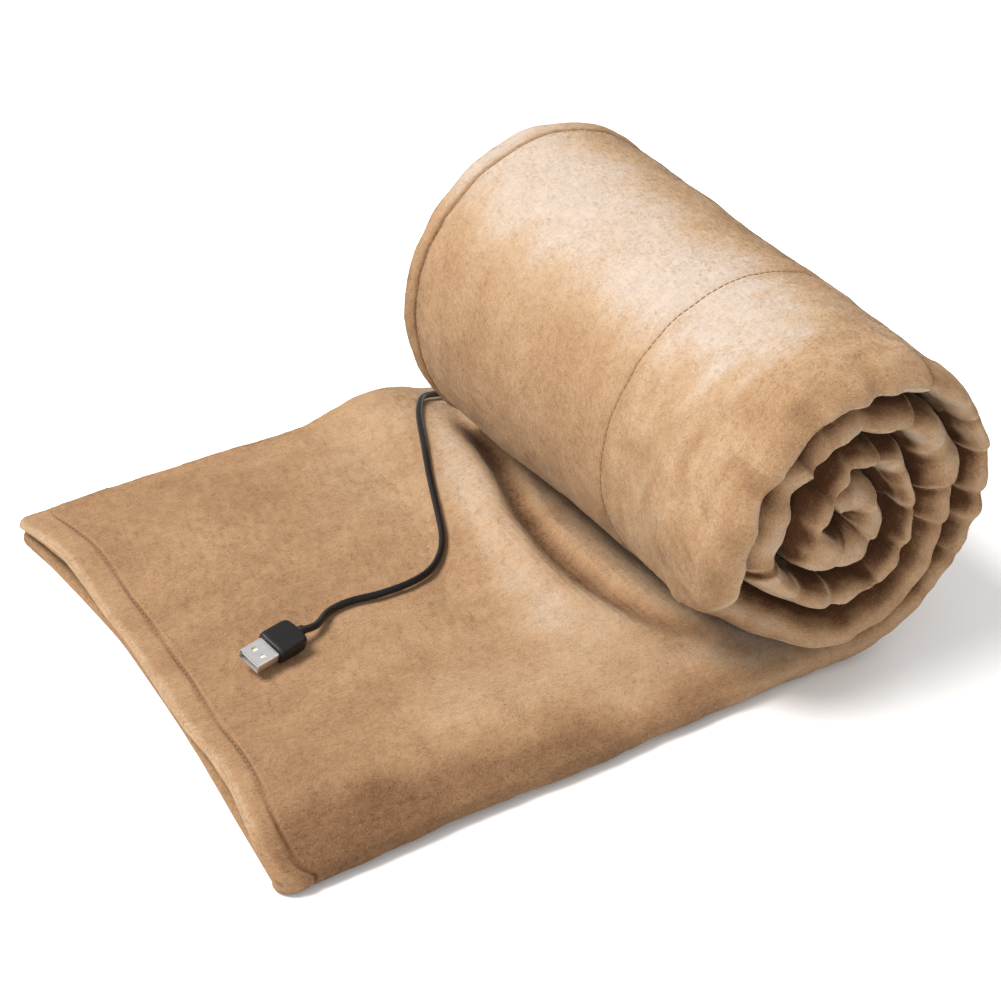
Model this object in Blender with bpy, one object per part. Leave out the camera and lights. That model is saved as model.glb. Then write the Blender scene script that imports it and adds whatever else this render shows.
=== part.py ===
"""Heated throw of padded plush, folded double along its length and partly rolled up,
with its lead and plug lying on the flat stretch.

Metres, +Z up. X runs along the throw from its end hem (-X) to the roll (+X), Y along the
roll from the soft fold (-Y) to the two open hems (+Y), and Z = 0 is the table.
"""

import math

import bmesh
import bpy
from mathutils import Matrix, Vector

# ---------------------------------------------------------------- cloth
PLY = 0.0072            # one padded layer with its pile
SLOT = 0.0014           # air between the two layers
STACK = 2 * PLY + SLOT  # height of the folded throw
TURN_GAP = 0.0014       # air between neighbouring turns
LOOP_STACK = 0.0235     # how far the soft fold may swell at the roll's front
LAST_TURN = 3.62        # turns from the table to the inner end

# ---------------------------------------------------------------- plan
PLAN_SHIFT = (0.0001, -0.0129)   # brings the middle of the plan onto the origin
FLAT_FRONT = -0.155
FLAT_BACK = 0.143
END_HEM_STACK = 0.0124
HEM_SETTLE = 0.060              # length over which the pressed end hem regains full height
EDGE_SQUEEZE = 0.25             # share of a layer that its rounded cut end loses on each side
EDGE_BULGE = 0.30               # share of a layer by which its open hem's edge is rounded
CORNER = 0.007
CORNER_LIMIT = 0.94             # share of the corner's arc that is used, short of its end

# ---------------------------------------------------------------- roll, a slight cone
ROLL_FRONT = -0.158
ROLL_BACK = 0.089
AXIS_X = (0.0839, 0.0942)       # at the front, at the back
RADIUS = (0.0820, 0.0916)
PITCH = (0.0174, 0.0195)
SAG = (0.976, 0.993)            # height of the round over its width
FRONT_FADE = 0.075              # depth over which the uneven front becomes a plain spiral
LOOP_FADE = 0.6 * FRONT_FADE    # depth of the swollen part of the soft fold
LIFT_OFF = 0.12                 # turns over which the cloth leaves the table
JOIN_SHARE = 0.80               # share of the flat stretch from which it thickens to the roll

# ---------------------------------------------------------------- lead and plug
LEAD_DIAMETER = 0.0034
LEAD_REST_GAP = 0.0014          # clear of the cloth's facets
PIECE_GAP = 0.0003
LEAD_END_GAP = 0.0007           # the lead meets its neck at a slight angle
LEAD_STEP = 0.0080
LEAD_DROP = 0.0018              # the lead sinks from the neck towards the cloth
LEAD_ROUTE = (
    # x, y, z; without a z the lead lies on the cloth
    (0.0920, 0.1456, 0.0079), (0.0922, 0.1520, 0.0082), (0.0900, 0.1585, 0.0105),
    (0.0850, 0.1610, 0.0150), (0.0800, 0.1575, 0.0195), (0.0775, 0.1500, 0.0215),
    (0.0750, 0.1410, None), (0.0705, 0.1325, None), (0.0625, 0.1255, None),
    (0.0530, 0.1210, None), (0.0450, 0.1165, None), (0.0385, 0.1095, None),
    (0.0300, 0.0965, None), (0.0180, 0.0720, None), (0.0065, 0.0480, None),
    (-0.0040, 0.0245, None), (-0.0130, 0.0055, None), (-0.0215, -0.0065, None),
    (-0.0320, -0.0145, None), (-0.0450, -0.0185, None), (-0.0610, -0.0188, None),
    (-0.0750, -0.0167, None), (-0.0865, -0.0185, None),
)
PLUG_TAIL = (-0.1085, -0.0303, 0.0226)      # middle of the moulded grip's back end
PLUG_TURN = math.radians(195.3)             # heading of the plug in plan
PLUG_TILT = math.radians(-18.0)             # roll about its own length
NECK_LENGTH = 0.0035
GRIP_SECTIONS = (
    # distance from the grip's back end, width, thickness, squareness
    (-0.0035, 0.0044, 0.0044, 2.0), (-0.0004, 0.0054, 0.0052, 2.0),
    (0.0000, 0.0105, 0.0062, 4.0), (0.0007, 0.0132, 0.0074, 5.0),
    (0.0020, 0.0146, 0.0080, 6.0), (0.0060, 0.0150, 0.0082, 7.0),
    (0.0130, 0.0150, 0.0082, 7.0), (0.0152, 0.0147, 0.0079, 6.0),
    (0.0160, 0.0138, 0.0070, 5.0),
)
GRIP_LENGTH = 0.0160
SHELL_LENGTH = 0.0118
SHELL_WIDTH = 0.0120
SHELL_THICKNESS = 0.0045
SHELL_WALL = 0.0004
SHELL_CORNER = 0.0006
WINDOW = 0.0022
WINDOW_SETBACK = 0.0052         # from the shell's mouth to the middle of its windows
WINDOW_SPACING = 0.0050
TONGUE_LENGTH = 0.0108
TONGUE_WIDTH = 0.0104
TONGUE_THICKNESS = 0.0017
TONGUE_RAISE = 0.0007           # the tongue sits above the shell's middle

# Front of the roll: outer radius of the cloth at each turn counted from the table.
FRONT_RINGS = (
    # turn, radius
    (0.00, 0.0800), (0.12, 0.0795), (0.21, 0.0785), (0.27, 0.0760), (0.33, 0.0740),
    (0.39, 0.0735), (0.44, 0.0745), (0.52, 0.0730), (0.62, 0.0745), (0.72, 0.0760),
    (0.80, 0.0750), (0.86, 0.0705), (0.92, 0.0645), (1.00, 0.0610),
    (1.10, 0.0595), (1.20, 0.0575), (1.28, 0.0585), (1.36, 0.0585), (1.42, 0.0570),
    (1.50, 0.0560), (1.57, 0.0590), (1.62, 0.0555), (1.68, 0.0575), (1.76, 0.0545),
    (1.84, 0.0480), (1.92, 0.0420), (2.00, 0.0390),
    (2.10, 0.0370), (2.18, 0.0335), (2.25, 0.0320), (2.32, 0.0345), (2.39, 0.0390),
    (2.45, 0.0345), (2.52, 0.0350), (2.58, 0.0325), (2.63, 0.0355), (2.72, 0.0305),
    (2.82, 0.0285), (2.92, 0.0260), (3.02, 0.0225),
    (3.12, 0.0225), (3.22, 0.0205), (3.34, 0.0190), (3.48, 0.0190), (3.62, 0.0165),
    (3.80, 0.0120), (4.00, 0.0075), (4.25, 0.0045), (4.70, 0.0030),
)

# How far towards the front the soft fold reaches.
FRONT_REACH = (
    # turn, y
    (0.00, -0.156), (0.12, -0.161), (0.30, -0.168), (0.50, -0.171), (0.68, -0.171),
    (0.75, -0.168), (0.80, -0.158), (0.84, -0.142), (0.88, -0.138), (0.92, -0.152),
    (0.96, -0.162), (1.02, -0.166), (1.15, -0.167), (1.35, -0.169), (1.50, -0.164),
    (1.70, -0.163), (1.80, -0.160), (1.90, -0.164), (2.05, -0.166), (2.25, -0.167),
    (2.45, -0.163), (2.65, -0.168), (2.85, -0.169), (3.00, -0.163), (3.30, -0.163),
    (3.62, -0.158),
)

# How far back the open hems reach.
BACK_REACH = (
    # turn, y
    (0.00, 0.143), (0.06, 0.140), (0.14, 0.128), (0.25, 0.106), (0.36, 0.093),
    (0.50, 0.089), (0.80, 0.088), (1.00, 0.087), (1.40, 0.091), (1.90, 0.086),
    (2.40, 0.092), (2.90, 0.087), (3.30, 0.090), (3.62, 0.086),
)

# Creases across the soft fold: each turn's cloth steps back below one and eases out again.
PUCKERS = (
    # turn, depth, length in turns
    (0.165, 0.0030, 0.030), (0.235, 0.0040, 0.030), (0.285, 0.0045, 0.026),
    (0.335, 0.0040, 0.026), (0.425, 0.0090, 0.045), (1.205, 0.0045, 0.050),
    (1.265, 0.0060, 0.040), (1.415, 0.0050, 0.050), (1.600, 0.0055, 0.060),
    (1.790, 0.0060, 0.060), (2.060, 0.0045, 0.080), (2.250, 0.0040, 0.070),
    (2.430, 0.0045, 0.080), (2.610, 0.0040, 0.080), (3.120, 0.0040, 0.100),
)
CREASE_STEP = 0.008     # turns over which a crease steps back

# ---------------------------------------------------------------- flat stretch
END_HEM = (
    # y, x
    (-0.155, -0.1830), (-0.110, -0.1780), (-0.065, -0.1735), (-0.010, -0.1695),
    (0.045, -0.1670), (0.100, -0.1680), (0.143, -0.1715),
)
# The upper layer rises in two soft ridges in front of the roll.
LONG_RIDGE = (
    # y, x of the crest, rise, half width
    (-0.155, 0.010, 0.0000, 0.040), (-0.100, 0.004, 0.0030, 0.040),
    (-0.040, 0.004, 0.0065, 0.040), (0.035, 0.022, 0.0100, 0.038),
    (0.100, 0.042, 0.0100, 0.040), (0.150, 0.050, 0.0050, 0.046),
)
NIP_RIDGE = (
    # y, x of the crest, rise, half width
    (-0.155, 0.050, 0.0000, 0.020), (-0.100, 0.044, 0.0035, 0.020),
    (-0.050, 0.042, 0.0055, 0.020), (0.000, 0.049, 0.0055, 0.020),
    (0.060, 0.062, 0.0040, 0.018), (0.150, 0.085, 0.0000, 0.018),
)
# The upper layer lifts off the lower one at two places along the end hem.
HEM_MOUTHS = (
    # y, rise, half width along the hem
    (0.090, 0.0045, 0.060), (-0.080, 0.0045, 0.060),
)
MOUTH_DEPTH = 0.055
# The fold's inside keeps the upper layer swollen along the front.
FRONT_SWELL = 0.0040
SWELL_SETBACK = 0.046
SWELL_WIDTH = 0.050
FRONT_SLOPE = 0.040     # width of the rounded slope down to the front edge
EDGE_LOOP = 0.011       # the same at the roll's front


def mix(a, b, share):
    return a + (b - a) * share


def soft_step(value, low, high):
    """0 below low, 1 above high, smooth between."""
    share = min(1.0, max(0.0, (value - low) / (high - low)))
    return share * share * (3.0 - 2.0 * share)


def soft_bump(value, middle, half_width):
    """1 in the middle, 0 past the half width, smooth between."""
    share = min(1.0, abs(value - middle) / half_width)
    return (1.0 - share * share) ** 2


def read_table(table, key, column=1):
    """A column of a table at a key between its rows, along a smooth monotone curve."""
    if key <= table[0][0]:
        return table[0][column]
    for row in range(len(table) - 1):
        if key <= table[row + 1][0]:
            break
    else:
        return table[-1][column]

    def slope(first):
        if first < 0 or first >= len(table) - 1:
            return None
        step = table[first + 1][0] - table[first][0]
        return (table[first + 1][column] - table[first][column]) / step

    here = slope(row)
    ends = []
    for other in (slope(row - 1), slope(row + 1)):
        if other is None:
            ends.append(here)
        elif other * here <= 0.0:
            ends.append(0.0)
        else:
            ends.append(2.0 * other * here / (other + here))
    length = table[row + 1][0] - table[row][0]
    share = (key - table[row][0]) / length
    low = table[row][column]
    high = table[row + 1][column]
    cubed = share ** 3
    squared = share ** 2
    return (
        (2 * cubed - 3 * squared + 1) * low
        + (cubed - 2 * squared + share) * length * ends[0]
        + (3 * squared - 2 * cubed) * high
        + (cubed - squared) * length * ends[1]
    )


def pucker(turn):
    """How far the creases set the soft fold back at a turn."""
    depth = 0.0
    for crease, step_back, length in PUCKERS:
        if crease - length < turn < crease + CREASE_STEP:
            ease = min(1.0, (turn - crease + length) / length)
            rise = 1.0 - soft_step(turn, crease, crease + CREASE_STEP)
            depth = max(depth, step_back * ease * ease * rise)
    return depth


# ---------------------------------------------------------------- the roll's form
def along_roll(pair, y):
    """A size of the cone at a place along its axis."""
    return mix(pair[0], pair[1], (y - ROLL_FRONT) / (ROLL_BACK - ROLL_FRONT))


def axis_height(y):
    return along_roll(RADIUS, y) * along_roll(SAG, y)


def plain_radius(turn, y):
    """Outer radius of the even spiral."""
    flatten = along_roll(SAG, y)
    side = math.sin(math.tau * turn) ** 2
    radius = along_roll(RADIUS, y) - along_roll(PITCH, y) * turn
    return radius * mix(flatten, 1.0, side)


def outer_radius(turn, y):
    """Outer radius of the cloth: uneven at the front, an even spiral farther back."""
    share = 1.0 - soft_step(y, ROLL_FRONT, ROLL_FRONT + FRONT_FADE)
    plain = plain_radius(turn, y)
    if share <= 0.0:
        return plain
    drift = axis_height(y) - axis_height(ROLL_FRONT)
    front = read_table(FRONT_RINGS, turn) + drift * max(0.0, 1.0 - turn / 4.0)
    return mix(plain, front, share)


def turn_stack(turn, y):
    """Thickness of the folded cloth inside its turn."""
    room = outer_radius(turn, y) - outer_radius(turn + 1.0, y) - TURN_GAP
    share = 1.0 - soft_step(y, ROLL_FRONT, ROLL_FRONT + LOOP_FADE)
    return min(room, mix(STACK, LOOP_STACK, share))


def underside(x, y):
    """Height of the roll's outer skin above the flat stretch."""
    sideways = x - along_roll(AXIS_X, y)
    turn = 0.9
    for _ in range(6):
        radius = outer_radius(turn, y)
        turn = 1.0 + math.asin(max(-1.0, min(0.0, sideways / radius))) / math.tau
    if -sideways >= radius:
        return 1.0
    return axis_height(y) - radius * math.cos(math.tau * turn)


# ---------------------------------------------------------------- the flat stretch's form
def ridge(table, x, y):
    crest = read_table(table, y, 1)
    rise = read_table(table, y, 2)
    return rise * soft_bump(x, crest, read_table(table, y, 3))


def upper_lift(x, y):
    """Rise of the upper layer above the plain stack."""
    lift = ridge(LONG_RIDGE, x, y) + ridge(NIP_RIDGE, x, y)
    from_hem = x - read_table(END_HEM, y)
    for middle, rise, width in HEM_MOUTHS:
        near = 1.0 - soft_step(from_hem, 0.0, MOUTH_DEPTH)
        lift += rise * soft_bump(y, middle, width) * near
    swell = FRONT_SWELL * soft_bump(y, FLAT_FRONT + SWELL_SETBACK, SWELL_WIDTH)
    lift += swell * soft_step(from_hem, 0.0, HEM_SETTLE) * (1.0 - soft_step(x, 0.0, 0.07))
    lift *= soft_step(y, FLAT_FRONT, FLAT_FRONT + FRONT_SLOPE)
    room = underside(x, y) - STACK - TURN_GAP
    return min(lift, max(0.0, room))


def flat_stack(x, y):
    from_hem = x - read_table(END_HEM, y)
    return mix(END_HEM_STACK, STACK, soft_step(from_hem, 0.0, HEM_SETTLE))


def flat_x(share, y):
    """X at a share of the way from the end hem to the roll's lowest line."""
    start = read_table(END_HEM, y)
    for overrun in (y - (FLAT_BACK - CORNER), FLAT_FRONT + CORNER - y):
        along = min(CORNER_LIMIT, max(0.0, overrun / CORNER))
        start += CORNER * (1.0 - math.sqrt(1.0 - along * along))
    return mix(start, along_roll(AXIS_X, y), share)


# ---------------------------------------------------------------- the folded section
STRAIGHT = (0.0, 0.25, 0.50, 0.74, 0.90, 1.0)     # from the hem to the soft fold
WALL_STRAIGHT = (0, 1, 2, 3, 5)                    # those that the slot's walls use
NOSE_ANGLES = (-60.0, -28.0, 0.0, 32.0, 62.0)     # round the soft fold
WALL_NOSE = (0, 2, 4)
FOLD_TIP = (0.34, 0.50)     # height of the fold's tip in its stack, on the flat and in the roll
TIP_GAP = 0.0004            # least slot left inside the fold
LEAST_SLOT = 0.8 * SLOT
LEAST_REACH = 0.001         # least depth of the fold's round
STEPS_PER_TURN = (30, 26, 21, 16)
STATION_GAP = 0.012         # turns kept free round the sections that make a crease
INNER_END = 0.02            # turns from the last full section to the inner end


class Station:
    """One cross-section of the throw: a share of the flat stretch, or a turn of the roll."""

    def __init__(self, share=None, turn=None, pressed=0.0):
        self.share = share
        self.turn = turn
        self.pressed = pressed
        if turn is None:
            self.front = FLAT_FRONT
            self.back = FLAT_BACK
            self.slope = FRONT_SLOPE
            self.tip = FOLD_TIP[0]
        else:
            self.front = read_table(FRONT_REACH, turn) + pucker(turn)
            self.back = read_table(BACK_REACH, turn)
            rolled = soft_step(turn, 0.0, LIFT_OFF)
            self.slope = mix(FRONT_SLOPE, EDGE_LOOP, rolled)
            self.tip = mix(FOLD_TIP[0], FOLD_TIP[1], rolled)

    def stack(self, y):
        if self.turn is None:
            plain = flat_stack(flat_x(self.share, y), y)
            first = turn_stack(0.0, y)
            return mix(plain, first, soft_step(self.share, JOIN_SHARE, 1.0))
        return turn_stack(self.turn, y)

    def place(self, y, height, upper):
        """World point at a height above the outer skin; upper is 1 on the upper layer."""
        if self.turn is None:
            x = flat_x(self.share, y)
            z = height + upper * upper_lift(x, y)
            return (x, y, z)
        radius = outer_radius(self.turn, y) - height
        angle = math.tau * self.turn
        x = along_roll(AXIS_X, y) + radius * math.sin(angle)
        z = axis_height(y) - radius * math.cos(angle)
        return (x, y, z)

    def point(self, layer, kind, step, wall):
        """Layer -1 is the lower one and 1 the upper one; wall is the slot's side."""
        if kind == "straight":
            slope = EDGE_LOOP if layer < 0 else self.slope
            y = mix(self.back, self.front + slope, STRAIGHT[step])
            stack = self.stack(y)
            ply = self.ply(stack)
            squeeze = self.pressed * ply * EDGE_SQUEEZE
            depth = ply - squeeze if wall else squeeze
            height = depth if layer < 0 else stack - depth
            return self.place(y, height, 0.0 if layer < 0 else 1.0)
        angle = math.radians(NOSE_ANGLES[step])
        slope = EDGE_LOOP if angle < 0.0 else self.slope
        stack = self.stack(self.front)
        ply = self.ply(stack)
        squeeze = self.pressed * ply * EDGE_SQUEEZE
        depth = ply - squeeze if wall else squeeze
        tip = min(max(stack * self.tip, ply + TIP_GAP), stack - ply - TIP_GAP)
        low = depth
        high = stack - depth
        reach = max(LEAST_REACH, slope - depth)
        y = self.front + depth + reach * (1.0 - math.cos(angle))
        span = high - tip if angle > 0.0 else tip - low
        height = tip + span * math.sin(angle)
        upper = max(0.0, math.sin(angle))
        return self.place(y, height, upper)

    @staticmethod
    def ply(stack):
        return min(PLY, 0.5 * (stack - LEAST_SLOT))

    def hem_edge(self, layer):
        """Middle of the rounded edge of one open hem."""
        stack = self.stack(self.back)
        ply = self.ply(stack)
        height = 0.5 * ply if layer < 0 else stack - 0.5 * ply
        return self.place(self.back + EDGE_BULGE * ply, height, 0.0 if layer < 0 else 1.0)

    def ring(self):
        """The closed outline: skin from hem to hem, then back along the slot."""
        last = len(STRAIGHT) - 1
        points = [self.hem_edge(-1)]
        points += [self.point(-1, "straight", step, False) for step in range(last + 1)]
        points += [self.point(0, "nose", step, False) for step in range(len(NOSE_ANGLES))]
        points += [self.point(1, "straight", step, False) for step in range(last, -1, -1)]
        points.append(self.hem_edge(1))
        points += [self.point(1, "straight", step, True) for step in WALL_STRAIGHT]
        points += [self.point(0, "nose", step, True) for step in reversed(WALL_NOSE)]
        points += [self.point(-1, "straight", step, True) for step in reversed(WALL_STRAIGHT)]
        return points


def stations():
    """Sections from the end hem to the inner end, closer together where the form turns."""
    found = [Station(share=0.0, pressed=1.0)]
    shares = (0.018, 0.07, 0.15, 0.25, 0.35, 0.45, 0.53, 0.59, 0.64, 0.69, 0.74)
    found += [Station(share=value) for value in shares]
    shares = (0.785, 0.825, 0.865, 0.905, 0.95)
    found += [Station(share=value) for value in shares]
    turns = set()
    turn = 0.0
    while turn < LAST_TURN - INNER_END:
        turns.add(round(turn, 4))
        turn += 1.0 / STEPS_PER_TURN[int(turn)]
    for crease, _depth, length in PUCKERS:
        marks = (crease - 0.5 * length, crease, crease + CREASE_STEP)
        turns = {value for value in turns
                 if min(abs(value - mark) for mark in marks) > STATION_GAP}
        turns |= set(marks)
    turns = {value for value in turns if value < LAST_TURN - 1.5 * INNER_END}
    found += [Station(turn=value) for value in sorted(turns)]
    found.append(Station(turn=LAST_TURN - INNER_END))
    found.append(Station(turn=LAST_TURN, pressed=1.0))
    return found


def cap_faces(ring):
    """Faces that close one end of the cloth, each between a wall point and its skin."""
    skin_count = 2 * len(STRAIGHT) + len(NOSE_ANGLES)
    first = ring[1:1 + skin_count]
    walls = list(reversed(ring[2 + skin_count:]))
    partner = list(WALL_STRAIGHT)
    partner += [len(STRAIGHT) + step for step in WALL_NOSE]
    partner += [skin_count - 1 - step for step in reversed(WALL_STRAIGHT)]
    faces = [[ring[0], first[0], walls[0]], [first[-1], ring[1 + skin_count], walls[-1]]]
    for index in range(len(partner) - 1):
        span = first[partner[index]:partner[index + 1] + 1]
        faces.append(span + [walls[index + 1], walls[index]])
    return faces


def make_material(name, color, roughness, metallic=0.0):
    material = bpy.data.materials.new(name)
    material.use_nodes = True
    shader = material.node_tree.nodes["Principled BSDF"]
    shader.inputs["Base Color"].default_value = (*color, 1.0)
    shader.inputs["Roughness"].default_value = roughness
    shader.inputs["Metallic"].default_value = metallic
    return material


def add_object(name, mesh, material):
    item = bpy.data.objects.new(name, mesh)
    bpy.context.scene.collection.objects.link(item)
    mesh.materials.append(material)
    return item


def finish_mesh(builder, name):
    bmesh.ops.recalc_face_normals(builder, faces=builder.faces)
    mesh = bpy.data.meshes.new(name)
    builder.to_mesh(mesh)
    builder.free()
    mesh.shade_smooth()
    mesh.set_sharp_from_angle(angle=math.radians(50))
    return mesh


def make_throw(material):
    """The padded cloth as one solid, swept through its cross-sections."""
    builder = bmesh.new()
    rings = []
    for station in stations():
        rings.append([builder.verts.new(shifted(point)) for point in station.ring()])
    for ring, following in zip(rings, rings[1:]):
        for index in range(len(ring)):
            after = (index + 1) % len(ring)
            builder.faces.new((ring[index], ring[after], following[after], following[index]))
    for corners in cap_faces(rings[0]) + cap_faces(rings[-1]):
        builder.faces.new(corners)
    bmesh.ops.triangulate(builder, faces=builder.faces)
    return add_object("blanket", finish_mesh(builder, "blanket"), material)


# ---------------------------------------------------------------- lead and plug
def shifted(point):
    return (point[0] - PLAN_SHIFT[0], point[1] - PLAN_SHIFT[1], point[2])


def plug_frame():
    """Placement of the plug: its own X runs from the grip's back end to the shell's mouth."""
    turn = Matrix.Rotation(PLUG_TURN, 4, "Z")
    tilt = Matrix.Rotation(PLUG_TILT, 4, "X")
    return Matrix.Translation(shifted(PLUG_TAIL)) @ turn @ tilt


def lead_anchors():
    """The lead's route, from between the open hems to the plug's neck."""
    anchors = []
    for x, y, z in LEAD_ROUTE:
        if z is None:
            z = flat_stack(x, y) + upper_lift(x, y) + LEAD_DIAMETER / 2 + LEAD_REST_GAP
        anchors.append(Vector(shifted((x, y, z))))
    frame = plug_frame()
    for setback in (NECK_LENGTH + LEAD_STEP, NECK_LENGTH + LEAD_END_GAP):
        anchors.append(frame @ Vector((-setback, 0.0, 0.0)))
    anchors[-2].z -= LEAD_DROP
    return anchors


def smooth_curve(anchors, step):
    """Points about a step apart on a smooth curve through the anchors."""
    last = len(anchors) - 1
    dense = []
    for index in range(last):
        before = anchors[max(0, index - 1)]
        start, end = anchors[index], anchors[index + 1]
        after = anchors[min(last, index + 2)]
        for part in range(24):
            share = part / 24
            dense.append(0.5 * (
                2.0 * start + (end - before) * share
                + (2.0 * before - 5.0 * start + 4.0 * end - after) * share ** 2
                + (3.0 * start - before - 3.0 * end + after) * share ** 3))
    dense.append(anchors[-1])
    lengths = [0.0]
    for start, end in zip(dense, dense[1:]):
        lengths.append(lengths[-1] + (end - start).length)
    count = max(2, round(lengths[-1] / step))
    points = []
    place = 0
    for index in range(count + 1):
        wanted = lengths[-1] * index / count
        while place < len(dense) - 2 and lengths[place + 1] < wanted:
            place += 1
        share = (wanted - lengths[place]) / (lengths[place + 1] - lengths[place])
        points.append(dense[place].lerp(dense[place + 1], min(1.0, share)))
    return points


def make_lead(material):
    curve = bpy.data.curves.new("lead", "CURVE")
    curve.dimensions = "3D"
    curve.bevel_depth = LEAD_DIAMETER / 2
    curve.bevel_resolution = 2
    curve.use_fill_caps = True
    points = smooth_curve(lead_anchors(), LEAD_STEP)
    spline = curve.splines.new("POLY")
    spline.points.add(len(points) - 1)
    for knot, point in zip(spline.points, points):
        knot.co = (*point, 1.0)
    return add_object("lead", curve, material)


def rounded_outline(width, thickness, squareness, steps=20):
    """Points of a rounded rectangle; a squareness of 2 gives an ellipse."""
    outline = []
    for step in range(steps):
        angle = math.tau * (step + 0.5) / steps
        across, up = math.cos(angle), math.sin(angle)
        scale = (abs(across) ** squareness + abs(up) ** squareness) ** (-1.0 / squareness)
        outline.append((0.5 * width * across * scale, 0.5 * thickness * up * scale))
    return outline


def make_grip(material):
    """The plug's moulded grip with its short neck, through rounded cross-sections."""
    builder = bmesh.new()
    rings = []
    for distance, width, thickness, squareness in GRIP_SECTIONS:
        outline = rounded_outline(width, thickness, squareness)
        rings.append([builder.verts.new((distance, across, up)) for across, up in outline])
    for ring, following in zip(rings, rings[1:]):
        for index in range(len(ring)):
            after = (index + 1) % len(ring)
            builder.faces.new((ring[index], ring[after], following[after], following[index]))
    builder.faces.new(rings[0])
    builder.faces.new(rings[-1])
    item = add_object("plug_body", finish_mesh(builder, "plug_body"), material)
    item.matrix_world = plug_frame()
    return item


def make_box(name, length, width, thickness, material, start):
    """A plain block whose X runs from start along the plug."""
    builder = bmesh.new()
    bmesh.ops.create_cube(builder, size=1.0)
    bmesh.ops.scale(builder, vec=(length, width, thickness), verts=builder.verts)
    bmesh.ops.translate(builder, vec=(start + length / 2, 0.0, 0.0), verts=builder.verts)
    return add_object(name, finish_mesh(builder, name), material)


def make_shell(material):
    """The thin metal mouth of the plug, open at both ends, with two windows on each side."""
    start = GRIP_LENGTH + PIECE_GAP
    builder = bmesh.new()
    rings = []
    for inset, distance in (
        (0.0, start), (0.0, start + SHELL_LENGTH),
        (SHELL_WALL, start + SHELL_LENGTH), (SHELL_WALL, start),
    ):
        corner = max(0.0002, SHELL_CORNER - inset)
        half_width = SHELL_WIDTH / 2 - inset
        half_thickness = SHELL_THICKNESS / 2 - inset
        ring = []
        for quarter, (side, rise) in enumerate(((1, 1), (-1, 1), (-1, -1), (1, -1))):
            for step in range(4):
                angle = math.radians(90 * quarter + 30 * step)
                across = side * (half_width - corner) + corner * math.cos(angle)
                up = rise * (half_thickness - corner) + corner * math.sin(angle)
                ring.append(builder.verts.new((distance, across, up)))
        rings.append(ring)
    for ring, following in zip(rings, rings[1:] + rings[:1]):
        for index in range(len(ring)):
            after = (index + 1) % len(ring)
            builder.faces.new((ring[index], ring[after], following[after], following[index]))
    item = add_object("plug_shell", finish_mesh(builder, "plug_shell"), material)
    item.matrix_world = plug_frame()
    for side in (-1, 1):
        middle = start + SHELL_LENGTH - WINDOW_SETBACK
        name = "window_cutter_" + ("left" if side < 0 else "right")
        cutter = make_box(name, WINDOW, WINDOW, 2 * SHELL_THICKNESS, material,
                          middle - WINDOW / 2)
        cutter.matrix_world = plug_frame() @ Matrix.Translation((0, side * WINDOW_SPACING / 2, 0))
        cutter.hide_render = True
        cutter.display_type = "WIRE"
        cut = item.modifiers.new(name, "BOOLEAN")
        cut.operation = "DIFFERENCE"
        cut.object = cutter
    return item


def make_tongue(material):
    """The plastic tongue that carries the contacts inside the shell."""
    start = GRIP_LENGTH + PIECE_GAP
    item = make_box("plug_tongue", TONGUE_LENGTH, TONGUE_WIDTH, TONGUE_THICKNESS, material, start)
    item.matrix_world = plug_frame() @ Matrix.Translation((0.0, 0.0, TONGUE_RAISE))
    return item


def clear_scene():
    for item in list(bpy.data.objects):
        bpy.data.objects.remove(item, do_unlink=True)


def main():
    clear_scene()
    plush = make_material("tan_plush", (0.50, 0.33, 0.19), 0.95)
    sleeve = make_material("black_sleeve", (0.012, 0.012, 0.013), 0.50)
    grip = make_material("black_grip", (0.014, 0.014, 0.015), 0.55)
    steel = make_material("plated_steel", (0.62, 0.62, 0.63), 0.30, 1.0)
    tongue = make_material("white_tongue", (0.70, 0.70, 0.68), 0.50)
    make_throw(plush)
    make_lead(sleeve)
    make_grip(grip)
    make_shell(steel)
    make_tongue(tongue)


main()
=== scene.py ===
# %% [markdown]
# # A heated plush throw, folded double and rolled up
# The throw is one long padded cloth. It is folded double along its length, its left end lies
# flat, and the rest is rolled up. This notebook dresses the plain solids of that throw: it
# makes its folds again on a much finer mesh, sews the hems, lays a short pile over it and
# gives each surface its finish. First the frame is loaded, and nothing in it is moved.

# %% Frame
import math

import bmesh
import bpy
import numpy as np
from mathutils import Matrix, Vector


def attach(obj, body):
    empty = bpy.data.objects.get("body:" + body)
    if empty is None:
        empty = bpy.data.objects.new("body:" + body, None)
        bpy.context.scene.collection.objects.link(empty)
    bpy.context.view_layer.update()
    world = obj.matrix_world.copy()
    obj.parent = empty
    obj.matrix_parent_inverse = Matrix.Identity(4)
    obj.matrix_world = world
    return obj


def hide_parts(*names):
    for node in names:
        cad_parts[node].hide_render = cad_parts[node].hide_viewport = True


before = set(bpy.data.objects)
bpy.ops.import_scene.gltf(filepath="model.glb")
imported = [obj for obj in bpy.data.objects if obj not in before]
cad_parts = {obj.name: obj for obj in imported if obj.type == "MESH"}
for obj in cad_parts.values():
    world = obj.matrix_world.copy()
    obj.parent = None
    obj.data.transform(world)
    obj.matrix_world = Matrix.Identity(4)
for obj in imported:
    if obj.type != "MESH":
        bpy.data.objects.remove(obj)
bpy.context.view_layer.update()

print("nodes:", sorted(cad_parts))

# %% [markdown]
# ## Camera
# The camera was fitted to the outline of the throw and to the rings of its roll. A long lens
# from the left front, about 31 degrees above the table, gives the same proportions as the
# picture. An aimed camera is only a place and three axes, so its matrix is built from them.

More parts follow.
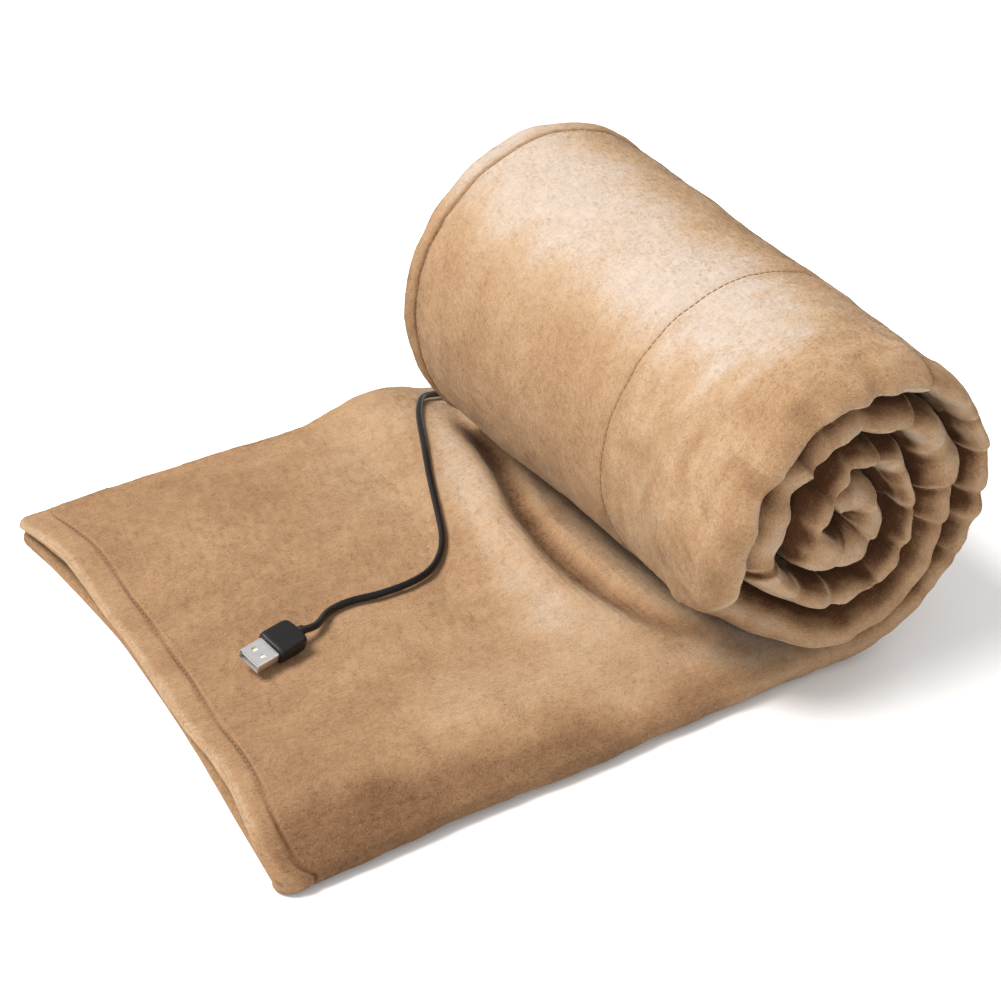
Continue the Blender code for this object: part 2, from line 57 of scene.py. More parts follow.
# %% Camera
CAMERA_PLACE = Vector((-0.42465, -0.65804, 0.51441))
CAMERA_AZIMUTH = math.radians(-33.278)
CAMERA_HEIGHT = math.radians(30.973)
CAMERA_LENS = 72.13
CAMERA_SENSOR = 36.0
CAMERA_NEAR = 0.02      # nothing nearer than this is drawn

camera_data = bpy.data.cameras.new("camera")
camera_data.lens = CAMERA_LENS
camera_data.sensor_width = CAMERA_SENSOR
camera_data.clip_start = CAMERA_NEAR
camera = bpy.data.objects.new("camera", camera_data)
bpy.context.scene.collection.objects.link(camera)
bpy.context.scene.camera = camera
camera_back = Vector((
    math.sin(CAMERA_AZIMUTH) * math.cos(CAMERA_HEIGHT),
    -math.cos(CAMERA_AZIMUTH) * math.cos(CAMERA_HEIGHT),
    math.sin(CAMERA_HEIGHT),
))
camera_right = (-camera_back).cross(Vector((0.0, 0.0, 1.0))).normalized()
camera_up = camera_right.cross(-camera_back)
camera_axes = Matrix((camera_right, camera_up, camera_back)).transposed()
camera.matrix_world = Matrix.Translation(CAMERA_PLACE) @ camera_axes.to_4x4()
print("camera looks along", tuple(round(value, 3) for value in -camera_back))

# %% [markdown]
# ## The throw's sizes
# These are the driving sizes of the folds: the thickness of one padded layer, the air between
# layers, the length of the flat stretch and the slight cone of the roll. The tables give the
# uneven front of the roll, a row for each change of form, and a smooth curve runs through
# them. The plan's middle is then shifted onto the origin.

# %% Sizes of the folded cloth
TINY = 1e-12            # keeps a division by a length from failing
FAR = 1.0               # a distance that stands for far away

PLY = 0.0072            # thickness of one padded layer
SLOT = 0.0014           # air between the two layers
STACK = 2 * PLY + SLOT
TURN_GAP = 0.0014       # air between neighbouring turns
LOOP_STACK = 0.0235     # most height of the soft fold at the roll's front
LAST_TURN = 3.62        # turns from the roll's lowest line to the inner end

PLAN_SHIFT = np.array((0.0001, -0.0129, 0.0))
FLAT_FRONT = -0.155     # y of the soft fold along the flat stretch
FLAT_BACK = 0.143       # y of its open hems
FLAT_LENGTH = 0.262     # from the end hem to the roll's lowest line
END_HEM_STACK = 0.0124  # thickness of the folded cloth at the end hem
HEM_SETTLE = 0.060      # how far in from there it has its full thickness
CORNER = 0.009
CORNER_LIMIT = 0.94     # share of a corner's round that is drawn

ROLL_FRONT = -0.158     # y of the roll's front and back, to which the pairs below belong
ROLL_BACK = 0.089
AXIS_X = (0.0839, 0.0942)
RADIUS = (0.0820, 0.0916)
PITCH = (0.0174, 0.0195)
SAG = (0.976, 0.993)    # height of the axis, as a share of the radius
FRONT_FADE = 0.075      # depth over which the uneven front becomes an even spiral
LOOP_FADE = 0.6 * FRONT_FADE
LIFT_OFF = 0.12         # turns over which the cloth leaves the table
JOIN_SHARE = 0.80       # share of the flat stretch from which it takes on the roll's thickness
CLOTH_RADIUS = 0.082    # radius at the start and its loss with each turn, taken alike from
CLOTH_PITCH = 0.018     # front to back to measure length along the cloth

FRONT_SWELL = 0.0040    # rise of the flat stretch behind its soft fold
SWELL_SETBACK = 0.046
SWELL_WIDTH = 0.050
SWELL_END = (0.0, 0.07)  # x over which it fades out
FRONT_SLOPE = 0.034     # depth of the soft fold's curve on the flat stretch, above its tip
EDGE_LOOP = 0.011       # and below its tip
ROLL_LOOP = 0.017       # the same on the roll
MOUTH_GAP = 0.0022      # extra air between the lips of neighbouring turns
MOUTH_DEPTH = 0.055     # how far in from the end hem the layers part
CORE_RADIUS = 0.0016    # the last turn's lips close in on the axis as far as this
OUTER_WAVES = 0.40      # share of the lips' waves on the outermost turn
LIP_WAVES = ((0.0240, 0.0024), (0.0110, 0.0011))     # length and height of the lips' waves

print("folded cloth:", round(1000 * STACK, 1), "mm thick")

# %% Tables of the roll's front and the flat stretch
# turn, radius of the cloth's outer skin at the roll's front
FRONT_RINGS = (
    (0.00, 0.0800), (0.12, 0.0795), (0.21, 0.0785), (0.27, 0.0760), (0.33, 0.0740),
    (0.39, 0.0735), (0.44, 0.0745), (0.52, 0.0730), (0.62, 0.0745), (0.72, 0.0760),
    (0.80, 0.0750), (0.86, 0.0705), (0.92, 0.0645), (1.00, 0.0610),
    (1.10, 0.0595), (1.20, 0.0575), (1.28, 0.0585), (1.36, 0.0585), (1.42, 0.0570),
    (1.50, 0.0560), (1.57, 0.0590), (1.62, 0.0555), (1.68, 0.0575), (1.76, 0.0545),
    (1.84, 0.0480), (1.92, 0.0420), (2.00, 0.0390),
    (2.10, 0.0370), (2.18, 0.0335), (2.25, 0.0320), (2.32, 0.0345), (2.39, 0.0390),
    (2.45, 0.0345), (2.52, 0.0350), (2.58, 0.0325), (2.63, 0.0355), (2.72, 0.0305),
    (2.82, 0.0285), (2.92, 0.0260), (3.02, 0.0225),
    (3.12, 0.0225), (3.22, 0.0205), (3.34, 0.0190), (3.48, 0.0190), (3.62, 0.0165),
    (3.80, 0.0120), (4.00, 0.0075), (4.25, 0.0045), (4.70, 0.0030),
)
# turn, y that the soft fold reaches
FRONT_REACH = (
    (0.00, -0.156), (0.12, -0.161), (0.30, -0.168), (0.50, -0.171), (0.68, -0.171),
    (0.75, -0.168), (0.80, -0.158), (0.84, -0.142), (0.88, -0.138), (0.92, -0.152),
    (0.96, -0.162), (1.02, -0.166), (1.15, -0.167), (1.35, -0.169), (1.50, -0.164),
    (1.70, -0.163), (1.80, -0.160), (1.90, -0.164), (2.05, -0.166), (2.25, -0.167),
    (2.45, -0.163), (2.65, -0.168), (2.85, -0.169), (3.00, -0.163), (3.30, -0.163),
    (3.62, -0.158),
)
# turn, y that the open hems reach
BACK_REACH = (
    (0.00, 0.143), (0.06, 0.140), (0.14, 0.128), (0.25, 0.106), (0.36, 0.093),
    (0.50, 0.089), (0.80, 0.088), (1.00, 0.087), (1.40, 0.091), (1.90, 0.086),
    (2.40, 0.092), (2.90, 0.087), (3.30, 0.090), (3.62, 0.086),
)
# y, x of the end hem
END_HEM = (
    (-0.155, -0.1830), (-0.110, -0.1775), (-0.065, -0.1720), (-0.010, -0.1670),
    (0.045, -0.1642), (0.100, -0.1654), (0.143, -0.1693),
)
# y, x of the crest, rise, half width
LONG_RIDGE = (
    (-0.155, 0.010, 0.0000, 0.040), (-0.100, 0.004, 0.0030, 0.040),
    (-0.040, 0.004, 0.0065, 0.040), (0.035, 0.022, 0.0100, 0.038),
    (0.100, 0.034, 0.0110, 0.040), (0.150, 0.024, 0.0095, 0.044),
)
NIP_RIDGE = (
    (-0.155, 0.050, 0.0000, 0.020), (-0.100, 0.044, 0.0035, 0.020),
    (-0.050, 0.042, 0.0055, 0.020), (0.000, 0.049, 0.0055, 0.020),
    (0.060, 0.062, 0.0040, 0.018), (0.150, 0.085, 0.0000, 0.018),
)
# y, rise, half width of the places where the layers part at the end hem
HEM_MOUTHS = ((0.094, 0.0040, 0.052), (-0.092, 0.0030, 0.046))
print("rows of the front's rings:", len(FRONT_RINGS))

# %% [markdown]
# ## Folds as functions
# Each size of the fold is a function of two things: how far along the cloth, and how far
# across it. NumPy works them out for a whole grid of points at once. The roll can never cut
# into itself, because every turn's thickness is taken from the next turn's own outer radius.

# %% Curves and smooth steps
def mix(a, b, share):
    return a + (b - a) * share


def soft_step(value, low, high):
    """0 below low, 1 above high, smooth between."""
    share = np.clip((value - low) / (high - low), 0.0, 1.0)
    return share * share * (3.0 - 2.0 * share)


def soft_bump(value, middle, half_width):
    """1 in the middle, 0 past the half width, smooth between."""
    share = np.minimum(1.0, np.abs(value - middle) / half_width)
    return (1.0 - share * share) ** 2


def narrow_bump(value, width):
    """1 at nought, falling off over about a width on both sides."""
    return np.exp(-(value / width) ** 2)


class Profile:
    """A smooth monotone curve through one column of a table."""

    def __init__(self, rows, column=1):
        self.keys = np.array([row[0] for row in rows])
        self.values = np.array([row[column] for row in rows])
        chords = np.diff(self.values) / np.diff(self.keys)
        before, after = chords[:-1], chords[1:]
        agree = before * after > 0.0
        inner = np.where(agree, 2 * before * after / np.where(agree, before + after, 1.0), 0.0)
        self.slopes = np.concatenate((chords[:1], inner, chords[-1:]))

    def __call__(self, key):
        key = np.clip(key, self.keys[0], self.keys[-1])
        row = np.clip(np.searchsorted(self.keys, key) - 1, 0, len(self.keys) - 2)
        length = self.keys[row + 1] - self.keys[row]
        share = (key - self.keys[row]) / length
        squared, cubed = share ** 2, share ** 3
        return (
            (2 * cubed - 3 * squared + 1) * self.values[row]
            + (cubed - 2 * squared + share) * length * self.slopes[row]
            + (3 * squared - 2 * cubed) * self.values[row + 1]
            + (cubed - squared) * length * self.slopes[row + 1]
        )


class Clouds:
    """Smooth random unevenness over a plane, about -1 to 1, its lumps about one unit wide."""

    def __init__(self, seed, cells=256):
        random = np.random.default_rng(seed)
        self.angles = random.uniform(0.0, math.tau, (cells, cells))

    def pull(self, column, row, x, y):
        cells = len(self.angles)
        angle = self.angles[row % cells, column % cells]
        return np.cos(angle) * (x - column) + np.sin(angle) * (y - row)

    def __call__(self, x, y):
        """The unevenness at a place; the last factor stretches it to about -1 to 1."""
        x, y = np.broadcast_arrays(x, y)
        column, row = np.floor(x).astype(int), np.floor(y).astype(int)
        across, up = soft_step(x - column, 0.0, 1.0), soft_step(y - row, 0.0, 1.0)
        low = mix(self.pull(column, row, x, y), self.pull(column + 1, row, x, y), across)
        high = mix(self.pull(column, row + 1, x, y),
                   self.pull(column + 1, row + 1, x, y), across)
        return 1.5 * mix(low, high, up)


front_rings = Profile(FRONT_RINGS)
front_reach = Profile(FRONT_REACH)
back_reach = Profile(BACK_REACH)
end_hem_x = Profile(END_HEM)
ridge_profiles = [
    [Profile(table, column) for column in (1, 2, 3)] for table in (LONG_RIDGE, NIP_RIDGE)
]
print("the roll has", LAST_TURN, "turns")

# %% The roll's form
WAVE_LANE = 7.3                 # where the waves lie in their field of noise
WAVE_START = (0.08, 0.16)       # turns over which the waves come up from the table
WAVE_GROWTH = (0.90, 1.15)      # turns over which they reach their full height
WAVE_DEPTH = 0.030              # depth over which they fade out
RING_TURNS = 4.0                # turns over which the front's rings share the axis's rise
LIP_MOUTH = (-0.166, -0.142)    # y over which the lips' extra air fades out
FREE_END = (0.94, 0.70)         # turns before the last, past which no cloth lies inside
SEARCH_TURN = 0.9               # the underside is searched from this turn, in a few steps
SEARCH_STEPS = 6


def along_roll(pair, y):
    """A value that changes evenly from the roll's front to its back."""
    return mix(pair[0], pair[1], (y - ROLL_FRONT) / (ROLL_BACK - ROLL_FRONT))


def axis_height(y):
    return along_roll(RADIUS, y) * along_roll(SAG, y)


def cloth_length(turn):
    """Length of cloth from the roll's lowest line up to a turn."""
    return math.tau * (CLOTH_RADIUS * turn - 0.5 * CLOTH_PITCH * turn ** 2)


lip_clouds = Clouds(11)


def lip_wave(turn):
    """Small waves of the soft fold's lip, along the length of the cloth."""
    wave = 0.0
    for length, height in LIP_WAVES:
        lane = WAVE_LANE + 100.0 * length
        wave = wave + height * lip_clouds(cloth_length(turn) / length, lane)
    inner = mix(OUTER_WAVES, 1.0, soft_step(turn, *WAVE_GROWTH))
    return wave * inner * soft_step(turn, *WAVE_START)


def outer_radius(turn, y):
    """Radius of the cloth's outer skin: uneven at the front, an even spiral farther back."""
    side = np.sin(math.tau * turn) ** 2
    even = along_roll(RADIUS, y) - along_roll(PITCH, y) * turn
    even = even * mix(along_roll(SAG, y), 1.0, side)
    drift = axis_height(y) - axis_height(ROLL_FRONT)
    uneven = front_rings(turn) + drift * np.maximum(0.0, 1.0 - turn / RING_TURNS)
    uneven = uneven + lip_wave(turn) * (1.0 - soft_step(y, ROLL_FRONT, ROLL_FRONT + WAVE_DEPTH))
    return mix(uneven, even, soft_step(y, ROLL_FRONT, ROLL_FRONT + FRONT_FADE))


def turn_stack(turn, y):
    """Thickness of the folded cloth inside its turn."""
    lips = 1.0 - soft_step(y, *LIP_MOUTH)
    following = outer_radius(turn + 1.0, y) + TURN_GAP + MOUTH_GAP * lips
    free = soft_step(turn, LAST_TURN - FREE_END[0], LAST_TURN - FREE_END[1])
    room = outer_radius(turn, y) - mix(following, CORE_RADIUS, free)
    share = 1.0 - soft_step(y, ROLL_FRONT, ROLL_FRONT + LOOP_FADE)
    return np.minimum(room, mix(STACK, LOOP_STACK, share))


def underside(x, y):
    """Height of the roll's outer skin above the flat stretch."""
    sideways = x - along_roll(AXIS_X, y)
    turn = np.full(np.shape(sideways + y), SEARCH_TURN)
    for _step in range(SEARCH_STEPS):
        radius = outer_radius(turn, y)
        turn = 1.0 + np.arcsin(np.clip(sideways / radius, -1.0, 0.0)) / math.tau
    height = axis_height(y) - radius * np.cos(math.tau * turn)
    return np.where(-sideways >= radius, FAR, height)


print("radius at the front:", [round(1000 * float(front_rings(turn))) for turn in range(4)], "mm")

# %% The flat stretch's form
def upper_lift(x, y):
    """Rise of the upper layer above the plain stack."""
    lift = 0.0
    for crest, rise, half_width in ridge_profiles:
        lift = lift + rise(y) * soft_bump(x, crest(y), half_width(y))
    from_hem = x - end_hem_x(y)
    near_hem = 1.0 - soft_step(from_hem, 0.0, MOUTH_DEPTH)
    for middle, rise, width in HEM_MOUTHS:
        lift = lift + rise * soft_bump(y, middle, width) * near_hem
    swell = FRONT_SWELL * soft_bump(y, FLAT_FRONT + SWELL_SETBACK, SWELL_WIDTH)
    swell = swell * soft_step(from_hem, 0.0, HEM_SETTLE) * (1.0 - soft_step(x, *SWELL_END))
    lift = (lift + swell) * soft_step(y, FLAT_FRONT, FLAT_FRONT + FRONT_SLOPE)
    room = underside(x, y) - STACK - TURN_GAP
    return np.minimum(lift, np.maximum(0.0, room))


def flat_stack(x, y):
    """Height of the two layers and their slot, thinner beside the end hem."""
    return mix(END_HEM_STACK, STACK, soft_step(x - end_hem_x(y), 0.0, HEM_SETTLE))


def flat_x(share, y):
    """X at a share of the way from the end hem to the roll's lowest line."""
    start = end_hem_x(y)
    for overrun in (y - (FLAT_BACK - CORNER), FLAT_FRONT + CORNER - y):
        along = np.clip(overrun / CORNER, 0.0, CORNER_LIMIT)
        start = start + CORNER * (1.0 - np.sqrt(1.0 - along * along))
    return mix(start, along_roll(AXIS_X, y), share)


print("the roll is", round(float(2000 * axis_height(0.0))), "mm high in its middle")

# %% [markdown]
# ## The lead
# The thin black lead comes out between the two open hems behind the roll, turns over the
# back edge and lies in loose bends on the cloth as far as the plug. A lead is a bevelled
# curve: one smooth spline through the points of its route. The points without a height lie
# on the cloth, so they ask the fold's own functions how high it is there.

# %% Lead
LEAD_DIAMETER = 0.0034
LEAD_REST_GAP = 0.0014
LEAD_ENTRY = 0.0010        # length of lead inside the neck of the plug
LEAD_STEP = 0.0080         # distance behind the neck of the point that leads into it
LEAD_DROP = 0.0018         # and how far that point hangs down
LEAD_SPLITS = 6            # points on the curve for each point of the route
LEAD_ROUNDNESS = 5
NECK_LENGTH = 0.0035
PLUG_TAIL = np.array((-0.1085, -0.0303, 0.0226))
PLUG_TURN = math.radians(195.3)
PLUG_TILT = math.radians(-18.0)
LEAD_ROUTE = (
    (0.0920, 0.1456, 0.0079), (0.0922, 0.1520, 0.0082), (0.0900, 0.1585, 0.0105),
    (0.0850, 0.1610, 0.0150), (0.0800, 0.1575, 0.0195), (0.0775, 0.1500, 0.0215),
    (0.0750, 0.1410, None), (0.0705, 0.1325, None), (0.0625, 0.1255, None),
    (0.0530, 0.1210, None), (0.0450, 0.1165, None), (0.0385, 0.1095, None),
    (0.0300, 0.0965, None), (0.0180, 0.0720, None), (0.0065, 0.0480, None),
    (-0.0040, 0.0245, None), (-0.0130, 0.0055, None), (-0.0215, -0.0065, None),
    (-0.0320, -0.0145, None), (-0.0450, -0.0185, None), (-0.0610, -0.0188, None),
    (-0.0750, -0.0167, None), (-0.0865, -0.0185, None),
)

plug_frame = (
    Matrix.Translation(Vector(PLUG_TAIL - PLAN_SHIFT))
    @ Matrix.Rotation(PLUG_TURN, 4, "Z") @ Matrix.Rotation(PLUG_TILT, 4, "X")
)


def lead_anchors():
    """The route's points, those on the cloth at its height, and two at the plug."""
    anchors = []
    for x, y, z in LEAD_ROUTE:
        if z is None:
            z = float(flat_stack(x, y) + upper_lift(x, y)) + LEAD_DIAMETER / 2 + LEAD_REST_GAP
        anchors.append(Vector(np.array((x, y, z)) - PLAN_SHIFT))
    for setback in (NECK_LENGTH + LEAD_STEP, NECK_LENGTH - LEAD_ENTRY):
        anchors.append(plug_frame @ Vector((-setback, 0.0, 0.0)))
    anchors[-2].z -= LEAD_DROP
    return anchors


def smooth_curve(anchors, steps):
    """Points on a smooth curve through the anchors."""
    last = len(anchors) - 1
    points = []
    for index in range(last):
        before = anchors[max(0, index - 1)]
        start, end = anchors[index], anchors[index + 1]
        after = anchors[min(last, index + 2)]
        for step in range(steps):
            share = step / steps
            points.append(0.5 * (
                2.0 * start + (end - before) * share
                + (2.0 * before - 5.0 * start + 4.0 * end - after) * share ** 2
                + (3.0 * start - before - 3.0 * end + after) * share ** 3))
    points.append(anchors[-1])
    return points


def add_piece(name, data):
    piece = bpy.data.objects.new(name, data)
    bpy.context.scene.collection.objects.link(piece)
    return piece


lead_points = smooth_curve(lead_anchors(), LEAD_SPLITS)
lead_curve = bpy.data.curves.new("lead_cord", "CURVE")
lead_curve.dimensions = "3D"
lead_curve.bevel_depth = LEAD_DIAMETER / 2
lead_curve.bevel_resolution = LEAD_ROUNDNESS
lead_curve.use_fill_caps = True
lead_spline = lead_curve.splines.new("POLY")
lead_spline.points.add(len(lead_points) - 1)
for knot, point in zip(lead_spline.points, lead_points):
    knot.co = (*point, 1.0)
lead_cord = add_piece("lead_cord", lead_curve)

# %% [markdown]
# ## Where the cloth's cross-sections stand
# The throw is swept: one closed outline of the folded cloth is set up at about 600 places
# along it and skinned. Sections stand closer where the form turns fast: at the end hem, at
# its stitch line, and at the creases in which the soft fold bunches up round the roll.

# %% Creases round the roll's front
# turn, depth, length in turns: the cloth steps back below each crease and eases out again
PUCKERS = (
    (0.165, 0.0030, 0.030), (0.235, 0.0040, 0.030), (0.285, 0.0045, 0.026),
    (0.335, 0.0040, 0.026), (0.425, 0.0090, 0.045), (1.205, 0.0045, 0.050),
    (1.265, 0.0060, 0.040), (1.415, 0.0050, 0.050), (1.600, 0.0055, 0.060),
    (1.790, 0.0060, 0.060), (2.060, 0.0045, 0.080), (2.250, 0.0040, 0.070),
    (2.430, 0.0045, 0.080), (2.610, 0.0040, 0.080), (3.120, 0.0040, 0.100),
)
# turn, depth, half length in turns: soft dents without an edge
GATHERS = (
    (0.120, 0.0016, 0.016), (0.200, 0.0018, 0.014), (0.500, 0.0016, 0.022),
    (0.580, 0.0020, 0.024), (0.655, 0.0018, 0.022), (1.335, 0.0024, 0.026),
    (1.490, 0.0026, 0.026), (1.555, 0.0022, 0.022), (1.660, 0.0028, 0.030),
    (1.885, 0.0026, 0.034), (1.960, 0.0020, 0.030), (2.150, 0.0022, 0.030),
    (2.360, 0.0028, 0.036), (2.520, 0.0028, 0.036), (2.720, 0.0030, 0.046),
    (2.900, 0.0026, 0.050), (3.280, 0.0026, 0.070),
)
CREASE_STEP = 0.0048    # metres along the cloth in which it steps back at a crease
CREASE_DEPTH = 0.42     # share of the table's depth
CREASE_PINCH = 0.04     # share of its height that the fold loses beside a crease
FULL_CREASE = 0.0055    # depth from which a crease pinches and hangs over in full
GATHER_PINCH = 0.45     # the pinch of a soft dent, and its length as a share of the dent's
GATHER_LENGTH = 0.7
LIP_LEAN = 0.0010       # how far the upper lip hangs over the crease
LIP_LENGTH = 0.024
LEAST_LEAN = 0.15       # share of the lean where the roll's front doesn't hang
LEAN_SIDE = (-0.1, 0.7)  # sine of the turn over which the lean comes up
LEAN_START = (0.3, 0.4)  # shares of the step at which the lean starts and is full


def crease_effects(turn):
    """Set-back, pinch and lean of the soft fold at each turn, from the creases near it."""
    setback = np.zeros_like(turn)
    pinch = np.zeros_like(turn)
    lean = np.zeros_like(turn)
    for crease, depth, length in PUCKERS:
        round_length = math.tau * float(front_rings(crease))
        step = CREASE_STEP / round_length
        strength = min(1.0, depth / FULL_CREASE)
        before = (turn > crease - length) & (turn < crease + step)
        ease = np.clip((turn - crease + length) / length, 0.0, 1.0)
        rise = 1.0 - soft_step(turn, crease, crease + step)
        share = np.where(before, ease ** 2 * rise, 0.0)
        setback = np.maximum(setback, CREASE_DEPTH * depth * share)
        pinch = np.maximum(pinch, strength * share)
        side = mix(LEAST_LEAN, 1.0, soft_step(math.sin(math.tau * crease), *LEAN_SIDE))
        past = (turn - crease - LEAN_START[1] * step) * round_length
        lip = np.clip(1.0 - past / LIP_LENGTH, 0.0, 1.0)
        hang = side * strength * LIP_LEAN / round_length * lip ** 2
        lean = np.maximum(lean, np.where(turn >= crease + LEAN_START[0] * step, hang, 0.0))
    for gather, depth, half_length in GATHERS:
        setback = setback + depth * soft_bump(turn, gather, half_length)
        dent = soft_bump(turn, gather, GATHER_LENGTH * half_length)
        pinch = np.maximum(pinch, GATHER_PINCH * dent)
    return setback, pinch, lean


print("creases:", len(PUCKERS), "sharp and", len(GATHERS), "soft")

# %% Stations along the throw
END_STEPS = (0.0, 0.0003, 0.0008, 0.0015, 0.0024, 0.0034, 0.0046, 0.006)
FLAT_STEP = 0.0033
FLAT_FINE = (0.007, 0.022, 0.0014)      # from, to and step of the fine stretch at the hem
TURN_STEPS = (0.0053, 0.0072, 0.0105, 0.0150)
CREASE_MARKS = (-0.0062, -0.0038, -0.0020, -0.0006, 0.0008, 0.0018, 0.0030, 0.0042, 0.0062)
EVEN_END = 0.03         # turns before the last at which the even stations stop
CREASE_ROOM = 0.0025    # turns without an even station beside a crease's own stations
END_ROOM = 0.004        # and before the inner end's own


def flat_distances():
    """Distances from the end hem."""
    fine = np.arange(FLAT_FINE[0], FLAT_FINE[1], FLAT_FINE[2])
    rest = np.linspace(FLAT_FINE[1], FLAT_LENGTH, round((FLAT_LENGTH - FLAT_FINE[1]) / FLAT_STEP))
    return np.concatenate((END_STEPS, fine, rest[:-1]))


def roll_turns():
    """Turns of the roll's stations, with extra ones at each crease."""
    turns = []
    turn = 0.0
    while turn < LAST_TURN - EVEN_END:
        turns.append(turn)
        turn += TURN_STEPS[min(len(TURN_STEPS) - 1, int(turn))]
    for crease, _depth, _length in PUCKERS:
        marks = crease + np.array(CREASE_MARKS) / (math.tau * float(front_rings(crease)))
        turns = [value for value in turns if np.abs(marks - value).min() > CREASE_ROOM]
        turns += list(marks)
    end_turns = LAST_TURN - np.array(END_STEPS) / (math.tau * radius_at_end)
    turns = [value for value in turns if value < end_turns.min() - END_ROOM]
    return np.concatenate((sorted(turns), end_turns[::-1]))


radius_at_end = float(outer_radius(LAST_TURN, 0.0))
flat_marks = flat_distances()
turn_marks = roll_turns()
flat_count = len(flat_marks)
share_of = np.concatenate((flat_marks / FLAT_LENGTH, np.ones(len(turn_marks))))
turn_of = np.concatenate((np.zeros(flat_count), turn_marks))
from_start = np.concatenate((flat_marks, np.full(len(turn_marks), FAR)))
from_finish = np.concatenate((
    np.full(flat_count, FAR), (LAST_TURN - turn_marks) * math.tau * radius_at_end))
on_flat = np.arange(len(share_of)) < flat_count
print("stations:", flat_count, "flat and", len(turn_marks), "rolled")

# %% [markdown]
# ## The cloth's outline at a station
# Going round the outline: the lower layer's skin from its open hem to the soft fold, round
# the fold, back along the upper layer, and then along the slot between the two layers. The
# points stand closer near the hems, near the seam that runs round the roll, and near the
# fold, so that stitch lines and puckers are real shape and not paint.

# %% Points across the cloth
HEM_MARKS = (0.0004, 0.0012, 0.0026, 0.0046, 0.0068, 0.0086, 0.0095, 0.0102, 0.0109,
             0.0122, 0.0155)
SEAM_Y = -0.077
SEAM_MARKS = (0.0050, 0.0026, 0.0013, 0.0006, 0.0, -0.0006, -0.0013, -0.0026, -0.0050)
WIDE_COUNT = 30         # between the hem's marks and the seam's
FRONT_COUNT = 26        # between the seam's marks and the soft fold
NOSE_COUNT = 19
NOSE_FULLNESS = (0.82, 1.06)     # below 1 the fold is squarer than a round: flat, rolled
WALL_MARKS = (0.0004, 0.0012, 0.0024, 0.0038)
WALL_COUNT = 11
WALL_NOSE_COUNT = 5
NOSE_ANGLE = 80.0       # degrees up and down to which the fold's own points reach
WALL_NOSE_ANGLE = 66.0
# where the outline is coarse, these points stay: all but one at the hem, every fifth of the
# wide ones, the seam's middle, every third at the front and all that are close to the fold
HEM_LEFT_OUT = 1
WIDE_KEPT = 5
FRONT_KEPT = 3
NEAR_FOLD = 0.6


class Mark:
    """One point of the outline: which layer, what kind, and where along it."""

    def __init__(self, layer, kind, value, wall=False, coarse=True):
        self.layer = layer
        self.kind = kind
        self.value = value
        self.wall = wall
        self.coarse = coarse


def straight_marks(layer):
    """Marks of a skin from its open hem to the soft fold."""
    marks = [Mark(layer, "hem", value, coarse=index != HEM_LEFT_OUT)
             for index, value in enumerate(HEM_MARKS)]
    for index in range(1, WIDE_COUNT):
        marks.append(Mark(layer, "wide", index / WIDE_COUNT, coarse=index % WIDE_KEPT == 0))
    for value in SEAM_MARKS:
        marks.append(Mark(layer, "seam", value, coarse=value == 0.0))
    for index in range(1, FRONT_COUNT + 1):
        share = index / FRONT_COUNT
        kept = index % FRONT_KEPT == 0 or share > NEAR_FOLD
        marks.append(Mark(layer, "front", share, coarse=kept))
    return marks


def wall_marks(layer):
    """Marks of the slot's wall from the open hem to the soft fold."""
    marks = [Mark(layer, "hem", value, wall=True) for value in WALL_MARKS]
    for index in range(WALL_COUNT):
        marks.append(Mark(layer, "whole", (index + 1) / WALL_COUNT, wall=True))
    return marks


def outline_marks():
    """All marks in their order round the folded cloth."""
    nose = np.linspace(-NOSE_ANGLE, NOSE_ANGLE, NOSE_COUNT)
    wall_nose = np.linspace(WALL_NOSE_ANGLE, -WALL_NOSE_ANGLE, WALL_NOSE_COUNT)
    marks = [Mark(-1, "edge", 0.0)]
    marks += straight_marks(-1)
    marks += [Mark(0, "nose", math.radians(angle)) for angle in nose]
    marks += reversed(straight_marks(1))
    marks.append(Mark(1, "edge", 0.0))
    marks += wall_marks(1)
    marks += [Mark(0, "nose", math.radians(angle), wall=True) for angle in wall_nose]
    marks += reversed(wall_marks(-1))
    return marks


outline = outline_marks()
print("points in the outline:", len(outline))

# %% [markdown]
# ## Setting the outline up in space
# A point's height is measured inwards from the outer skin. On the flat stretch it goes
# straight up; on the roll it goes towards the axis. Cut edges and open hems are rounded like
# the end of a quilt: the skin closes on the middle of its layer over its own half thickness.

# %% Grid of points
HEM_OVERHANG = 0.0016   # how far the upper layer reaches past the lower one at the end hem
MOUTH_PULL = 0.0022     # how far it draws back where the layers part
PULL_DEPTH = 0.035      # depth over which both fade out
UNDER_TIP = 0.34        # height of the fold's tip on the flat stretch, as a share of the stack
ROLL_TIP = 0.5          # the same on the roll
TIP_SWAY = 0.17         # how far the lip's crest sways between the two layers round the roll
HEM_THINNING = 0.30     # share by which the lower layer is pressed thin where the layers part
LOOP_THINNING = 0.30    # share by which the padding is pressed thin in the roll's soft fold
PRESS_DEPTH = 0.030     # depth over which the cloth is pressed or pinched
LEAN_FADE = (0.004, 0.022)      # depth behind the soft fold over which its lean fades out
LEAST_SLOT = 0.8 * SLOT
LEAST_REACH = 0.001     # the fold's curve is never less deep than this
MOST_CLOSED = 0.94      # share of its round that an open hem is drawn with
TIP_GAP = 0.0004
# height, length along the cloth and lane in the noise of each unevenness of the roll
NOSE_NOISE = (0.0020, 0.013, 3.1)
BACK_NOISE = (0.0009, 0.020, 8.2)
TIP_NOISE = (0.08, 0.018, 5.5)

reach_clouds = Clouds(23)


def station_noise(row, along):
    height, length, lane = row
    return height * reach_clouds(along / length, lane)


